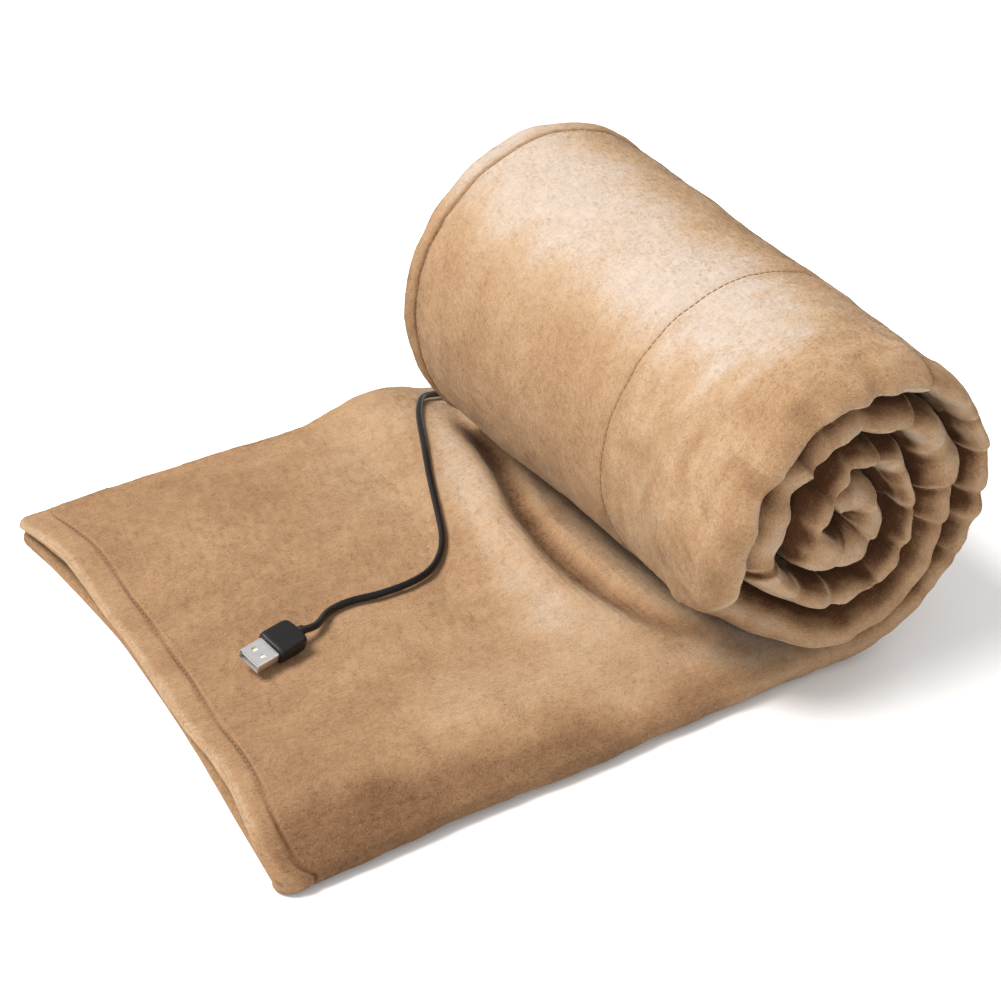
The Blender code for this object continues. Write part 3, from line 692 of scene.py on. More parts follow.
def station_table():
    """What each station needs, each as a column for the grid."""
    setback, pinch, lean = crease_effects(turn_of)
    rolled = soft_step(turn_of, 0.0, LIFT_OFF)
    angle = math.tau * turn_of
    along = cloth_length(turn_of)
    tip = ROLL_TIP - TIP_SWAY * (np.cos(angle) + np.sin(angle)) + station_noise(TIP_NOISE, along)
    reach = np.where(on_flat, FLAT_FRONT, front_reach(turn_of) + setback)
    reach = reach + rolled * station_noise(NOSE_NOISE, along)
    back = np.where(on_flat, FLAT_BACK, back_reach(turn_of))
    back = back + rolled * station_noise(BACK_NOISE, along)
    table = {
        "share": share_of, "turn": turn_of, "front": reach, "back": back,
        "slope": mix(FRONT_SLOPE, ROLL_LOOP, rolled), "tip": mix(UNDER_TIP, tip, rolled),
        "under slope": mix(EDGE_LOOP, ROLL_LOOP, rolled),
        "fullness": mix(*NOSE_FULLNESS, rolled), "pressed": LOOP_THINNING * rolled,
        "fold": pinch, "pinch": CREASE_PINCH * pinch, "lean": lean,
        "start": from_start, "finish": from_finish,
    }
    return {name: column[:, None] for name, column in table.items()}


stations = station_table()


def stack_at(y):
    """Height of the folded cloth over the whole grid."""
    flat = flat_stack(flat_x(stations["share"], y), y)
    first = turn_stack(np.zeros_like(y), y)
    flat = mix(flat, first, soft_step(stations["share"], JOIN_SHARE, 1.0))
    rolled = turn_stack(stations["turn"] + 0.0 * y, y)
    return np.where(on_flat[:, None], flat, rolled)


def layer_thickness(stack):
    """A layer's thickness: full, or half of what the slot leaves."""
    return np.minimum(PLY, 0.5 * (stack - LEAST_SLOT))


def straight_y(mark):
    """Y of a mark on a straight stretch, for every station."""
    back, front = stations["back"], stations["front"]
    end = front + stations["under slope" if mark.layer < 0 else "slope"]
    if mark.kind == "hem":
        return back - mark.value
    if mark.kind == "wide":
        return mix(back - HEM_MARKS[-1], SEAM_Y + SEAM_MARKS[0], mark.value)
    if mark.kind == "seam":
        return SEAM_Y + mark.value + 0.0 * back
    if mark.kind == "front":
        return mix(SEAM_Y + SEAM_MARKS[-1], end, mark.value)
    return mix(back - WALL_MARKS[-1], end, mark.value)


def rounding(distance_start, distance_finish, distance_hem, half):
    """How far the skin has closed on its layer's middle, 0 to 1, near a cut or hemmed edge."""
    near_end = np.clip(1.0 - np.minimum(distance_start, distance_finish) / half, 0.0, 1.0)
    near_hem = np.clip(1.0 - distance_hem / half, 0.0, 1.0)
    return 1.0 - np.sqrt(np.maximum(0.0, 1.0 - near_end ** 2 - near_hem ** 2))


def thinned(ply, mark, y_at):
    """A layer's thickness where it is pressed: at the parted end hem and in the roll's fold."""
    if mark.layer < 0:
        parted = sum(soft_bump(y_at, middle, width) for middle, _rise, width in HEM_MOUTHS)
        near_end = 1.0 - soft_step(stations["start"], 0.0, PRESS_DEPTH)
        ply = ply * (1.0 - HEM_THINNING * parted * near_end)
    pressed = 1.0 - soft_step(y_at, stations["front"], stations["front"] + PRESS_DEPTH)
    return ply * (1.0 - stations["pressed"] * pressed)


def nose_point(angle, stack, ply, inset):
    """Y and height of a point round the soft fold, on a squared curve about its tip."""
    sine = math.copysign(1.0, angle) * abs(math.sin(angle)) ** stations["fullness"]
    cosine = math.cos(angle) ** stations["fullness"]
    slope = stations["under slope" if angle < 0.0 else "slope"]
    top = stack * (1.0 - stations["pinch"])
    tip = np.clip(top * stations["tip"], ply + TIP_GAP, stack - ply - TIP_GAP)
    reach = np.maximum(LEAST_REACH, slope - inset)
    ends = top - inset - tip if angle > 0.0 else tip - inset
    return stations["front"] + inset + reach * (1.0 - cosine), tip + ends * sine


def upper_height(stack, y_at, inset):
    """Height of a point of the upper layer, a little lower where the fold is pinched."""
    pinched = stack * stations["pinch"] * soft_bump(y_at, stations["front"], PRESS_DEPTH)
    return stack - inset - pinched


def grid_columns():
    """Y, height above the outer skin and share of the upper layer's lift, at every point."""
    y_grid = np.zeros((len(share_of), len(outline)))
    height = np.zeros_like(y_grid)
    upper = np.zeros_like(y_grid)
    for column, mark in enumerate(outline):
        if mark.kind == "nose":
            y_at = stations["front"]
        elif mark.kind == "edge":
            y_at = stations["back"]
        else:
            y_at = straight_y(mark)
        stack = stack_at(y_at)
        ply = thinned(layer_thickness(stack), mark, y_at)
        half = 0.5 * ply
        to_hem = FAR if mark.kind == "nose" else stations["back"] - y_at
        closed = rounding(stations["start"], stations["finish"], to_hem, half)
        closed = 1.0 if mark.kind == "edge" else np.minimum(closed, MOST_CLOSED)
        inset = ply - half * closed if mark.wall else half * closed
        if mark.kind == "nose":
            y_at, rise = nose_point(mark.value, stack, ply, inset)
            lift = max(0.0, math.sin(mark.value))
        elif mark.layer < 0:
            rise = inset
            lift = 0.0
        else:
            rise = upper_height(stack, y_at, inset)
            lift = 1.0
        y_grid[:, column:column + 1] = y_at
        height[:, column:column + 1] = rise
        upper[:, column:column + 1] = lift
    return y_grid, height, upper


y_grid, height_grid, upper_grid = grid_columns()
from_front = y_grid - stations["front"]     # distances from the soft fold and the open hems
from_back = stations["back"] - y_grid
turn_at = stations["turn"]
flat_rows = on_flat[:, None]


def place_grid():
    """Where every grid point stands, before its relief."""
    turn = turn_at - stations["lean"] * (1.0 - soft_step(from_front, *LEAN_FADE))
    radius = outer_radius(turn, y_grid) - height_grid
    rolled_x = along_roll(AXIS_X, y_grid) + radius * np.sin(math.tau * turn)
    rolled_z = axis_height(y_grid) - radius * np.cos(math.tau * turn)
    plain_x = flat_x(stations["share"], y_grid)
    pull = 0.0
    for middle, _rise, width in HEM_MOUTHS:
        pull = pull + MOUTH_PULL * soft_bump(y_grid, middle, width)
    from_hem = stations["start"] + 0.0 * y_grid
    pull = (pull - HEM_OVERHANG) * (1.0 - soft_step(from_hem, 0.0, PULL_DEPTH))
    x = np.where(flat_rows, plain_x + upper_grid * pull, rolled_x)
    flat_z = height_grid + upper_grid * upper_lift(plain_x, y_grid)
    z = np.where(flat_rows, flat_z, rolled_z)
    return np.stack((x, y_grid, z), axis=2)


grid = place_grid()
print("grid:", grid.shape[0], "by", grid.shape[1], "points")

# %% [markdown]
# ## Stitch lines, seam and soft lumps
# Padded plush is never smooth. Its skin is pushed in at the stitch lines, swells between
# them, and is softly lumpy all over. Each of these is a distance along the skin's own normal,
# so first the normals of the plain grid are worked out, and then all points move once.

# %% Normals of the grid
UNDERSIDE_COLUMN = 20   # a column on the lower layer's skin, which has to face down


def outward_normals(points):
    """Outward normals from the differences between neighbouring points."""
    around = np.roll(points, -1, axis=1) - np.roll(points, 1, axis=1)
    along = np.gradient(points, axis=0)
    normals = np.cross(around, along)
    normals = normals / np.maximum(np.linalg.norm(normals, axis=2, keepdims=True), TINY)
    faces_up = normals[flat_count // 2, UNDERSIDE_COLUMN, 2] > 0.0
    return -normals if faces_up else normals


normals = outward_normals(grid)
print("normals of", normals.shape[0] * normals.shape[1], "points")

# %% Stitch lines, lumps and ruffles
END_STITCH = ((-0.155, 0.0088), (-0.110, 0.0105), (0.0, 0.0130), (0.110, 0.0155),
              (0.143, 0.0160))          # y, distance of the stitch line from the end hem
HEM_STITCH = 0.0102                     # the same along the open hems
STITCH_DEPTH = 0.0015
STITCH_WIDTH = 0.0013
HEM_BEAD = (0.0009, 0.45, 0.50)         # rise between line and hem; middle and half width as
END_BEAD = (0.0003, 0.55, 0.45)         # shares of the line's distance
COVERED_BEAD = 0.2                      # share of the bead where the next turn covers it
END_STITCH_DEPTH = 0.0007
END_STITCH_WIDTH = 0.0011
END_LINE_RISE = (0.006, 0.024)          # distance from the open hems in which it comes up
COVERED_LUMPS = (-0.0006, 0.0004)       # limits of the lumps where the next turn covers them
RUFFLE_HEIGHT = 0.0011
RUFFLE_FADE = (0.020, 0.060)            # distance behind the soft fold
RUFFLE_REST = 0.35                      # share of them anywhere but on the roll's outside
LUMPS = (
    # size, height
    (0.055, 0.0011), (0.020, 0.0006), (0.0085, 0.00034), (0.0040, 0.00018),
)
RIPPLES = (
    # share of the height, length, width and lane in the noise
    (1.0, 0.0120, 0.0170, 40.2), (0.5, 0.0055, 0.0080, 61.7),
)
RIPPLE_SLANT = 0.35
LUMP_SHIFT = 3.7        # each size of lump lies in its own part of the noise
LAYER_SHIFT = 1.7       # and so does each layer
HEIGHT_SHARE = 0.35     # how much a point's height counts as distance across

end_stitch = Profile(END_STITCH)
is_skin = np.array([not mark.wall and mark.kind != "edge" for mark in outline])[None, :]
is_lower = np.array([mark.layer < 0 for mark in outline])[None, :]
is_wall = np.array([mark.wall for mark in outline])[None, :]
is_covered = ~flat_rows & ((turn_at > 1.0) | ~is_lower)

lump_clouds = Clouds(37)
plain_along = np.where(on_flat, share_of * FLAT_LENGTH, FLAT_LENGTH + cloth_length(turn_of))
plain_across = y_grid + np.where(is_lower, 0.0, LAYER_SHIFT) + HEIGHT_SHARE * height_grid


def lumps():
    """Soft unevenness over the whole skin."""
    field = np.zeros(y_grid.shape)
    for index, (size, height) in enumerate(LUMPS):
        place = (plain_along[:, None] / size, plain_across / size + LUMP_SHIFT * index)
        field += height * lump_clouds(*place)
    return np.where(is_covered, np.clip(field, *COVERED_LUMPS), field)


def ruffles():
    """Crushed, slanting ripples of the pile's ground near the soft fold."""
    along = plain_along[:, None] + RIPPLE_SLANT * y_grid
    ripples = 0.0
    for strength, length, width, lane in RIPPLES:
        ripples = ripples + strength * lump_clouds(along / length, y_grid / width + lane)
    share = np.where(~flat_rows & ~is_covered, 1.0, RUFFLE_REST)
    return RUFFLE_HEIGHT * share * (1.0 - soft_step(from_front, *RUFFLE_FADE)) * ripples


def hem_relief():
    """Grooves of the stitch lines at the hems, and the beads between them and the hems."""
    sewn = np.where(flat_rows & ~is_lower, 0.0, 1.0)
    rise, middle, half_width = HEM_BEAD
    bead = rise * soft_bump(from_back, middle * HEM_STITCH, half_width * HEM_STITCH)
    bead = bead * np.where(is_covered, COVERED_BEAD, 1.0)
    groove = STITCH_DEPTH * narrow_bump(from_back - HEM_STITCH, STITCH_WIDTH)
    inside = flat_rows * soft_step(from_back, *END_LINE_RISE)
    end_line = end_stitch(y_grid)
    rise, middle, half_width = END_BEAD
    end_bead = rise * soft_bump(stations["start"] / end_line, middle, half_width)
    end_groove = END_STITCH_DEPTH * narrow_bump(stations["start"] - end_line, END_STITCH_WIDTH)
    return (bead - groove) * sewn + (end_bead - end_groove) * inside


print("beads rise", 1000 * HEM_BEAD[0], "mm beside the open hems")

# %% Seam, wrinkles and creases
SEAM_DEPTH = 0.0008
SEAM_WIDTH = 0.0014
SEAM_SWELL = (0.0006, 0.008, 0.007)     # rise beside the seam, distance from it, half width
TABLE_TURN = 0.05                       # the cloth rests on the table up to this turn
TABLE_FRONT = 0.006                     # and from this distance behind the soft fold
RESTING_SHARE = 0.25                    # share of the dents that stay where it rests
FOLD_DENT = 0.0034                      # how deep a crease dents the lip's covered side
DENT_FADE = (0.008, 0.024)
COVERED_SIDE = np.array((-0.6, 0.0, 0.8))    # lips facing this way lie under their neighbour
WRINKLE_SWAY = (0.004, 0.030)           # how far a wrinkle wanders, and in what length
WRINKLE_LANE = (81.0, 40.0)             # lane of the noise, and its change with distance
WRINKLE_SLANT = 0.1
RIM_WRINKLES = (
    # distance behind the soft fold, half width, height, turn of the middle, half length
    (0.023, 0.0080, 0.0008, 0.560, 0.120), (0.037, 0.0075, 0.0009, 0.520, 0.100),
    (0.051, 0.0080, 0.0006, 0.545, 0.080),
)
# y, x of its middle, rise, half width: a sharp crease beside the long ridge, and its trough
FLAT_CREASES = (
    ((-0.140, 0.036, 0.0000, 0.018), (-0.100, 0.0160, 0.0016, 0.018),
     (-0.060, 0.0095, 0.0028, 0.016), (-0.015, 0.0115, 0.0034, 0.015),
     (0.035, 0.0265, 0.0034, 0.015), (0.075, 0.0380, 0.0016, 0.014),
     (0.105, 0.0470, 0.0000, 0.014)),
    ((-0.145, 0.0560, 0.0000, 0.018), (-0.124, 0.0425, -0.0014, 0.017),
     (-0.092, 0.0265, -0.0028, 0.015), (-0.052, 0.0225, -0.0036, 0.013),
     (-0.008, 0.0275, -0.0040, 0.012), (0.044, 0.0430, -0.0042, 0.012),
     (0.085, 0.0520, -0.0018, 0.010), (0.110, 0.0560, 0.0000, 0.010)),
)
crease_profiles = [
    [Profile(table, column) for column in (1, 2, 3)] for table in FLAT_CREASES
]
TUCK_LOBES = (
    # turn, y, half length in turns, half width, height
    (0.735, -0.125, 0.060, 0.022, 0.0022), (0.655, -0.110, 0.055, 0.026, 0.0014),
    (0.800, -0.100, 0.050, 0.026, 0.0016),
)
SEAM_START = 0.08                       # turn at which the roll's outside starts
is_outside = is_lower & ~flat_rows & (turn_at > SEAM_START) & (turn_at < 1.0)


def outside_relief():
    """On the roll's outside: the seam, the wrinkles behind the soft fold and the tuck."""
    rise, distance, half_width = SEAM_SWELL
    field = rise * soft_bump(np.abs(y_grid - SEAM_Y), distance, half_width)
    field = field - SEAM_DEPTH * narrow_bump(y_grid - SEAM_Y, SEAM_WIDTH)
    for distance, width, rise, middle, length in RIM_WRINKLES:
        height, size = WRINKLE_SWAY
        lane = WRINKLE_LANE[0] + WRINKLE_LANE[1] * distance
        sway = height * lump_clouds(plain_along[:, None] / size, lane)
        slanted = from_front - WRINKLE_SLANT * (turn_at - middle) + sway
        field = field + rise * soft_bump(slanted, distance, width) * soft_bump(
            turn_at, middle, length)
    for middle, across, length, width, rise in TUCK_LOBES:
        lobe = soft_bump(turn_at, middle, length) * soft_bump(y_grid, across, width)
        field = field + rise * lobe
    return np.where(is_outside, field, 0.0)


def fold_relief():
    """Dents of the lips' covered sides, and on the flat stretch its sharp crease and trough."""
    covered = np.maximum(0.0, normals @ COVERED_SIDE) * (1.0 - soft_step(from_front, *DENT_FADE))
    field = np.where(flat_rows, 0.0, -FOLD_DENT * stations["fold"] * covered)
    x_at = flat_x(stations["share"], y_grid)
    for middle, rise, half_width in crease_profiles:
        fold = rise(y_grid) * soft_bump(x_at, middle(y_grid), half_width(y_grid))
        field = field + np.where(flat_rows & ~is_lower, fold, 0.0)
    return field


def relief():
    """Distance by which each point moves along its normal."""
    field = lumps() + hem_relief() + ruffles() + outside_relief() + fold_relief()
    resting = is_lower & (flat_rows | (turn_at < TABLE_TURN)) & (from_front > TABLE_FRONT)
    field = np.where(resting, RESTING_SHARE * np.minimum(field, 0.0), field)
    return np.where(is_skin, field, 0.0)


grid = grid + normals * relief()[:, :, None]
grid[:, :, 2] = np.maximum(grid[:, :, 2], 0.0)
grid = grid - PLAN_SHIFT
print("relief added; lowest point", float(grid[:, :, 2].min()))

# %% [markdown]
# ## Skinning the grid
# The grid becomes one closed mesh. Past the first turn only the front and back of the cloth
# can be seen, so there the outline keeps only some of its points, and one row of faces with
# more corners joins the fine part to the coarse part. Both ends are closed between the skin
# and the slot, which leaves the slot itself open. The mesh keeps the flat cloth's own
# coordinates, so that every finish runs along the cloth and not through space.

# %% Cloth coordinates
def cloth_coordinates():
    """Length along the throw and distance across it, both in metres, at each grid point."""
    steps = np.linalg.norm(np.diff(grid, axis=1), axis=2)
    across = np.concatenate((np.zeros((len(grid), 1)), np.cumsum(steps, axis=1)), axis=1)
    nose = [index for index, mark in enumerate(outline) if mark.kind == "nose"]
    middle = nose[NOSE_COUNT // 2]
    across = across - across[:, middle:middle + 1]
    return np.stack((np.repeat(plain_along[:, None], len(outline), axis=1), across), axis=2)


cloth_uv = cloth_coordinates()
print("the finishes run over", round(float(plain_along[-1]), 2), "m of the fold's outer skin")

# %% [markdown]
# ## Painted light and shade
# The tone paints light and shade into the pile's colour, in large, soft shapes: a painted
# sheen band along the roll, painted shade on the slope at the soft fold, in the trough and in
# the nip, painted shade in the depths between the turns and painted shadow on the lips'
# covered sides, and painted highlights down the long ridge and along the lips' rims. Each of
# these shapes is a smooth function of turn and width, and their sum, with random mottling, is
# kept as a tone from 0, brown, to 1, pale.

# %% Mottling of the whole skin
MIDDLE_TONE = 0.50
MOTTLES = (
    # tone, length along the cloth, width across it, shift in the noise
    (0.060, 0.070, 0.060, 0.0), (0.055, 0.040, 0.018, 8.0),
)
GRAIN = (0.035, 0.0140, 0.0075, 30.0)    # tone, length, width and lane of the fine mottling
CRUSHED_GRAIN = 0.050            # more of it on the roll in front of the seam
CRUSHED_TURNS = (0.05, 0.15)
CRUSHED_END = (SEAM_Y - 0.012, SEAM_Y + 0.004)
WANDER = (0.030, 0.035, 3.0)     # length, width and shift of the noise that softens edges

tone_clouds = Clouds(67)
final_normals = outward_normals(grid)
wander = tone_clouds(plain_along[:, None] / WANDER[0] + WANDER[2], y_grid / WANDER[1])


def cloth_tone():
    """Soft unevenness of tone, finer and stronger where the pile is crushed."""
    along = plain_along[:, None]
    tone = MIDDLE_TONE
    for strength, length, width, shift in MOTTLES:
        tone = tone + strength * tone_clouds(along / length + shift, plain_across / width)
    strength, length, width, lane = GRAIN
    crushed = soft_step(turn_at, *CRUSHED_TURNS) * (1.0 - soft_step(y_grid, *CRUSHED_END))
    strength = strength + CRUSHED_GRAIN * crushed
    return tone + strength * tone_clouds(along / length, plain_across / width + lane)


def tone_range(field):
    return [round(float(value), 2) for value in (field.min(), field.max())]


mottling = cloth_tone()
print("mottling from and to", tone_range(mottling))

# %% Tone of the flat stretch
PAINTED_LIGHT_LEFT = -0.09                # painted shade on the flat stretch beside the end hem
PAINTED_LIGHT_RIGHT = 0.07                # and painted light beside the roll
LEFT_TO_RIGHT = (-0.19, 0.06)
SLOPE_PAINTED_SHADE = -0.21               # painted shade on the slope at the soft fold
SLOPE_WIDTH = (0.038, 0.020)     # beside the end hem and beside the roll
SLOPE_CHANGE = (-0.17, 0.02)
SLOPE_SOFT = 0.020
FLAT_WANDER = 0.008
# painted light on the swell behind the slope: tone, x over which it comes up and over
# which it fades to a share of itself, and y of its middle and half width
SWELL_PAINTED_LIGHT = (0.07, (-0.130, -0.040), (0.0, 0.05), 0.7, (-0.105, 0.055))
# tone, x, half size, y, half size of soft patches: painted light, and painted shadow in the nip
PAINTED_LIGHT_PATCH = (0.10, -0.085, 0.060, -0.110, 0.024)
NIP_PAINTED_SHADOW = (-0.45, 0.048, 0.010, 0.066, 0.036)
TROUGH_PAINTED_SHADE = 100.0              # painted shade in the trough, for each metre of its depth
TROUGH_BREADTH = 0.75
RIDGE_PAINTED_HIGHLIGHT = 0.24
# y, x of its middle, strength, half width of the painted highlight down the long ridge
RIDGE_HIGHLIGHT_PATH = (
    (-0.130, -0.026, 0.0, 0.022), (-0.098, -0.017, 0.2, 0.024), (-0.068, -0.009, 0.6, 0.021),
    (-0.034, -0.001, 1.0, 0.018), (-0.003, 0.008, 1.0, 0.016), (0.030, 0.017, 1.0, 0.015),
    (0.058, 0.026, 0.9, 0.013), (0.087, 0.036, 0.5, 0.012), (0.115, 0.044, 0.0, 0.010),
)
FLAT_PALEST = 0.21               # what the flat stretch gains in tone at most
NEAR_ROLL_PAINTED_LIGHT = (0.10, 0.006, 0.030)  # tone of the painted light beside the roll, and the air under it that it fades in
IN_NIP_PAINTED_LIGHT = (0.08, 0.002, 0.020)    # the same close to the nip, past the limit above
END_LINE_TONE = (-0.34, 0.0006)  # tone and width of the end hem's stitch line
END_LINE_EDGE = (0.004, 0.016)
STRIP_TONE = (0.07, 0.003)       # tone of the strip outside it, and its soft edge
# painted sheen on the end hem's rim: tone, and the distance over which it fades
RIM_PAINTED_SHEEN = (0.16, 0.0010, 0.0045)
highlight_middle, highlight_strength, highlight_width = [
    Profile(RIDGE_HIGHLIGHT_PATH, column) for column in (1, 2, 3)
]


def patch(x_at, values):
    """A soft oval patch of tone."""
    tone, x, x_half, y, y_half = values
    return tone * soft_bump(x_at, x, x_half) * soft_bump(y_grid, y, y_half)


def end_hem_tone():
    """A brown stitch line, a paler strip outside it and a painted sheen on the rim."""
    to_stitch = end_stitch(y_grid) - stations["start"]
    line, line_width = END_LINE_TONE
    strip, strip_edge = STRIP_TONE
    rim, *rim_depth = RIM_PAINTED_SHEEN
    tone = line * narrow_bump(to_stitch, line_width) * soft_step(from_back, *END_LINE_EDGE)
    tone = tone + strip * soft_step(to_stitch, 0.0, strip_edge)
    tone = tone + rim * (1.0 - soft_step(stations["start"], *rim_depth))
    return np.where(is_lower, 0.0, tone)


def flat_tone():
    """What is added on the flat stretch: painted light and shade, and the end hem's tones."""
    x_at = flat_x(stations["share"], y_grid)
    y_at = y_grid + FLAT_WANDER * wander
    slope_end = FLAT_FRONT + mix(*SLOPE_WIDTH, soft_step(x_at, *SLOPE_CHANGE))
    slope = 1.0 - soft_step(y_at, slope_end - SLOPE_SOFT, slope_end)
    tone = SLOPE_PAINTED_SHADE * slope + mix(PAINTED_LIGHT_LEFT, PAINTED_LIGHT_RIGHT, soft_step(x_at, *LEFT_TO_RIGHT))
    strength, rise, fall, lost, across = SWELL_PAINTED_LIGHT
    area = soft_step(x_at, *rise) * (1.0 - lost * soft_step(x_at, *fall))
    tone = tone + strength * area * soft_bump(y_at, *across) * (1.0 - slope)
    middle, depth, half_width = crease_profiles[1]
    trough = soft_bump(x_at, middle(y_grid), TROUGH_BREADTH * half_width(y_grid))
    tone = tone + TROUGH_PAINTED_SHADE * depth(y_grid) * trough
    ridge = soft_bump(x_at, highlight_middle(y_grid), highlight_width(y_grid))
    tone = tone + RIDGE_PAINTED_HIGHLIGHT * highlight_strength(y_grid) * ridge
    gap = underside(x_at, y_grid) - STACK
    tone = tone + NEAR_ROLL_PAINTED_LIGHT[0] * (1.0 - soft_step(gap, *NEAR_ROLL_PAINTED_LIGHT[1:])) + patch(x_at, PAINTED_LIGHT_PATCH)
    tone = np.minimum(tone, FLAT_PALEST) + patch(x_at, NIP_PAINTED_SHADOW)
    return tone + IN_NIP_PAINTED_LIGHT[0] * (1.0 - soft_step(gap, *IN_NIP_PAINTED_LIGHT[1:])) + end_hem_tone()


flat_tones = flat_tone()
print("the flat stretch adds from and to", tone_range(flat_tones))

# %% Tone of the roll
SHEEN_RISE = (0.405, 0.535)      # turns over which the painted sheen band comes up
SHEEN_FALL = (0.555, 0.665)      # and goes down again
SHEEN_FRONT = (-0.152, -0.106)   # y over which it comes up
SHEEN_WANDER = (0.004, 0.010)    # in turns and in metres
# tone of the painted sheen band
PAINTED_SHEEN_TONE = 0.34
LOW_PAINTED_SHADE = (-0.02, 0.36, 0.16)   # tone, turn and half width of the painted shade below it
OUTSIDE_TURNS = (0.04, 0.08, 0.90, 1.00)
OUTSIDE_ANGLES = (-15.0, 45.0)   # degrees below the fold's tip over which its outside begins
OUTSIDE_TONE = 0.05
FOLD_EDGE_PAINTED_SHADE = (-0.08, 0.006, 0.014)  # painted shade beside the soft fold
INSIDE_TONE = 0.14
DEEP_PAINTED_SHADE = -0.72                # painted shade between the turns
DEEP_CORE = 0.30                 # what the core keeps of it
DEEP_FRONT = (0.004, 0.014)      # depth over which it comes up, front and back
DEEP_BACK = (0.006, 0.024)
CORE_TURNS = (2.9, 3.2)
CORE_TONE = 0.22
COVERED_PAINTED_SHADOW = -0.62             # painted shadow on the covered side of each lip
COVERED_RISE = (-0.0004, 0.0040)
LIP_DEPTH = (0.010, 0.026)
CREASE_PAINTED_SHADOW = -0.45                # painted shadow in the creases of the lips
OPEN_FOLD = 0.4                  # share of it on a lip's open side
FOLD_POWER = 0.8
RIM_HIGHLIGHT_VIEW = np.array((0.470, 0.717, -0.515))  # the camera's viewing direction; lips seen edge-on along it get a painted highlight
LIP_RIM_HIGHLIGHT = (0.70, -0.06, 0.26)   # tone, and facing and breadth of the lips' painted rim highlight
LIP_PALEST = 0.21                # what the inner skin gains in tone at most
SEAM_TONE = (-0.18, 0.0006)      # tone and width of the seam and of the far hem's line
HEM_TONE = (-0.45, 0.0010)


def outer_side():
    """1 on the roll's outer skin, 0 on the inner one, smooth round the soft fold."""
    share = np.zeros(len(outline))
    for column, mark in enumerate(outline):
        if mark.kind == "nose" and not mark.wall:
            share[column] = soft_step(-math.degrees(mark.value), *OUTSIDE_ANGLES)
        elif mark.layer < 0:
            share[column] = 1.0
    return share[None, :]


def outside_tone():
    """On the roll's outer skin: the painted sheen band and painted shade at the soft fold's edge.
    """
    at = turn_at + SHEEN_WANDER[0] * wander
    band = soft_step(at, *SHEEN_RISE) * (1.0 - soft_step(at, *SHEEN_FALL))
    band = band * soft_step(y_grid + SHEEN_WANDER[1] * wander, *SHEEN_FRONT)
    tone = PAINTED_SHEEN_TONE * band + LOW_PAINTED_SHADE[0] * soft_bump(turn_at, *LOW_PAINTED_SHADE[1:]) + OUTSIDE_TONE
    return tone + FOLD_EDGE_PAINTED_SHADE[0] * (1.0 - soft_step(from_front, *FOLD_EDGE_PAINTED_SHADE[1:]))


def inside_tone(inner):
    """Between turns and on lips: painted shade in depths, painted shadow on covered sides, pale
    rim lines.
    """
    core = soft_step(turn_at, *CORE_TURNS)
    near = 1.0 - soft_step(from_front, *LIP_DEPTH)
    deep = soft_step(from_front, *DEEP_FRONT) * soft_step(from_back, *DEEP_BACK)
    covered = np.maximum(0.0, final_normals @ COVERED_SIDE) * inner
    facing = final_normals @ RIM_HIGHLIGHT_VIEW - LIP_RIM_HIGHLIGHT[1]
    # painted shade in the depths between the turns
    tone = inner * ((DEEP_PAINTED_SHADE + DEEP_CORE * core) * deep + INSIDE_TONE)
    # painted shadow on the covered sides and in the creases
    tone = tone + COVERED_PAINTED_SHADOW * covered * soft_step(from_front, *COVERED_RISE) * near
    tone = tone + CREASE_PAINTED_SHADOW * stations["fold"] ** FOLD_POWER * near * mix(OPEN_FOLD, 1.0, covered)
    # painted rim highlight along the lips
    rim_highlight = LIP_RIM_HIGHLIGHT[0] * narrow_bump(facing, LIP_RIM_HIGHLIGHT[2])
    return tone + (rim_highlight + CORE_TONE * core) * near * inner


def roll_tone():
    """What is added on the roll: painted light and shade on both skins, seam and far hem's stitch
    line.
    """
    begin, full, fade, end = OUTSIDE_TURNS
    outer = outer_side() * soft_step(turn_at, begin, full) * (1.0 - soft_step(turn_at, fade, end))
    inner = 1.0 - outer
    tone = outer * outside_tone() + inside_tone(inner)
    tone = np.where(inner > 0.5, np.minimum(tone, LIP_PALEST), tone)
    tone = tone + SEAM_TONE[0] * outer * narrow_bump(y_grid - SEAM_Y, SEAM_TONE[1])
    return tone + HEM_TONE[0] * narrow_bump(from_back - HEM_STITCH, HEM_TONE[1])


roll_tones = roll_tone()
print("the roll adds from and to", tone_range(roll_tones))

# %% Tone of every point
TONE_JOIN = 0.10                 # turns over which flat stretch and roll are blended
SLOT_PAINTED_SHADE = 0.12                 # painted shade in the slot, and a higher tone near the end hem
WALL_END_TONE = 0.35
WALL_END = (0.002, 0.012)


def pile_mottle_and_painted_light():
    """Tone of every grid point, from 0, brown, to 1, pale, with its painted light and shade."""
    join = soft_step(turn_at, 0.0, TONE_JOIN)
    tone = mottling + flat_tones * (1.0 - join) + roll_tones * join
    edge = 1.0 - soft_step(stations["start"], *WALL_END)
    return np.clip(np.where(is_wall, SLOT_PAINTED_SHADE + WALL_END_TONE * edge, tone), 0.0, 1.0)


tone_grid = pile_mottle_and_painted_light()
print("all tones from and to", tone_range(tone_grid))

# %% Blanket mesh
FINE_TURNS = 1.04       # turns that keep every point of the outline


def finish_mesh(builder, name, sharp_angle=None):
    """A smooth mesh, with sharp edges where its faces meet at more than the angle in degrees."""
    bmesh.ops.recalc_face_normals(builder, faces=builder.faces)
    mesh = bpy.data.meshes.new(name)
    builder.to_mesh(mesh)
    builder.free()
    mesh.shade_smooth()
    if sharp_angle:
        mesh.set_sharp_from_angle(angle=math.radians(sharp_angle))
    return mesh


def column_span(first, second, every):
    """Columns from one kept point to the next: all of them, or the two ends alone."""
    return list(range(first, second + 1)) if every else [first, second]


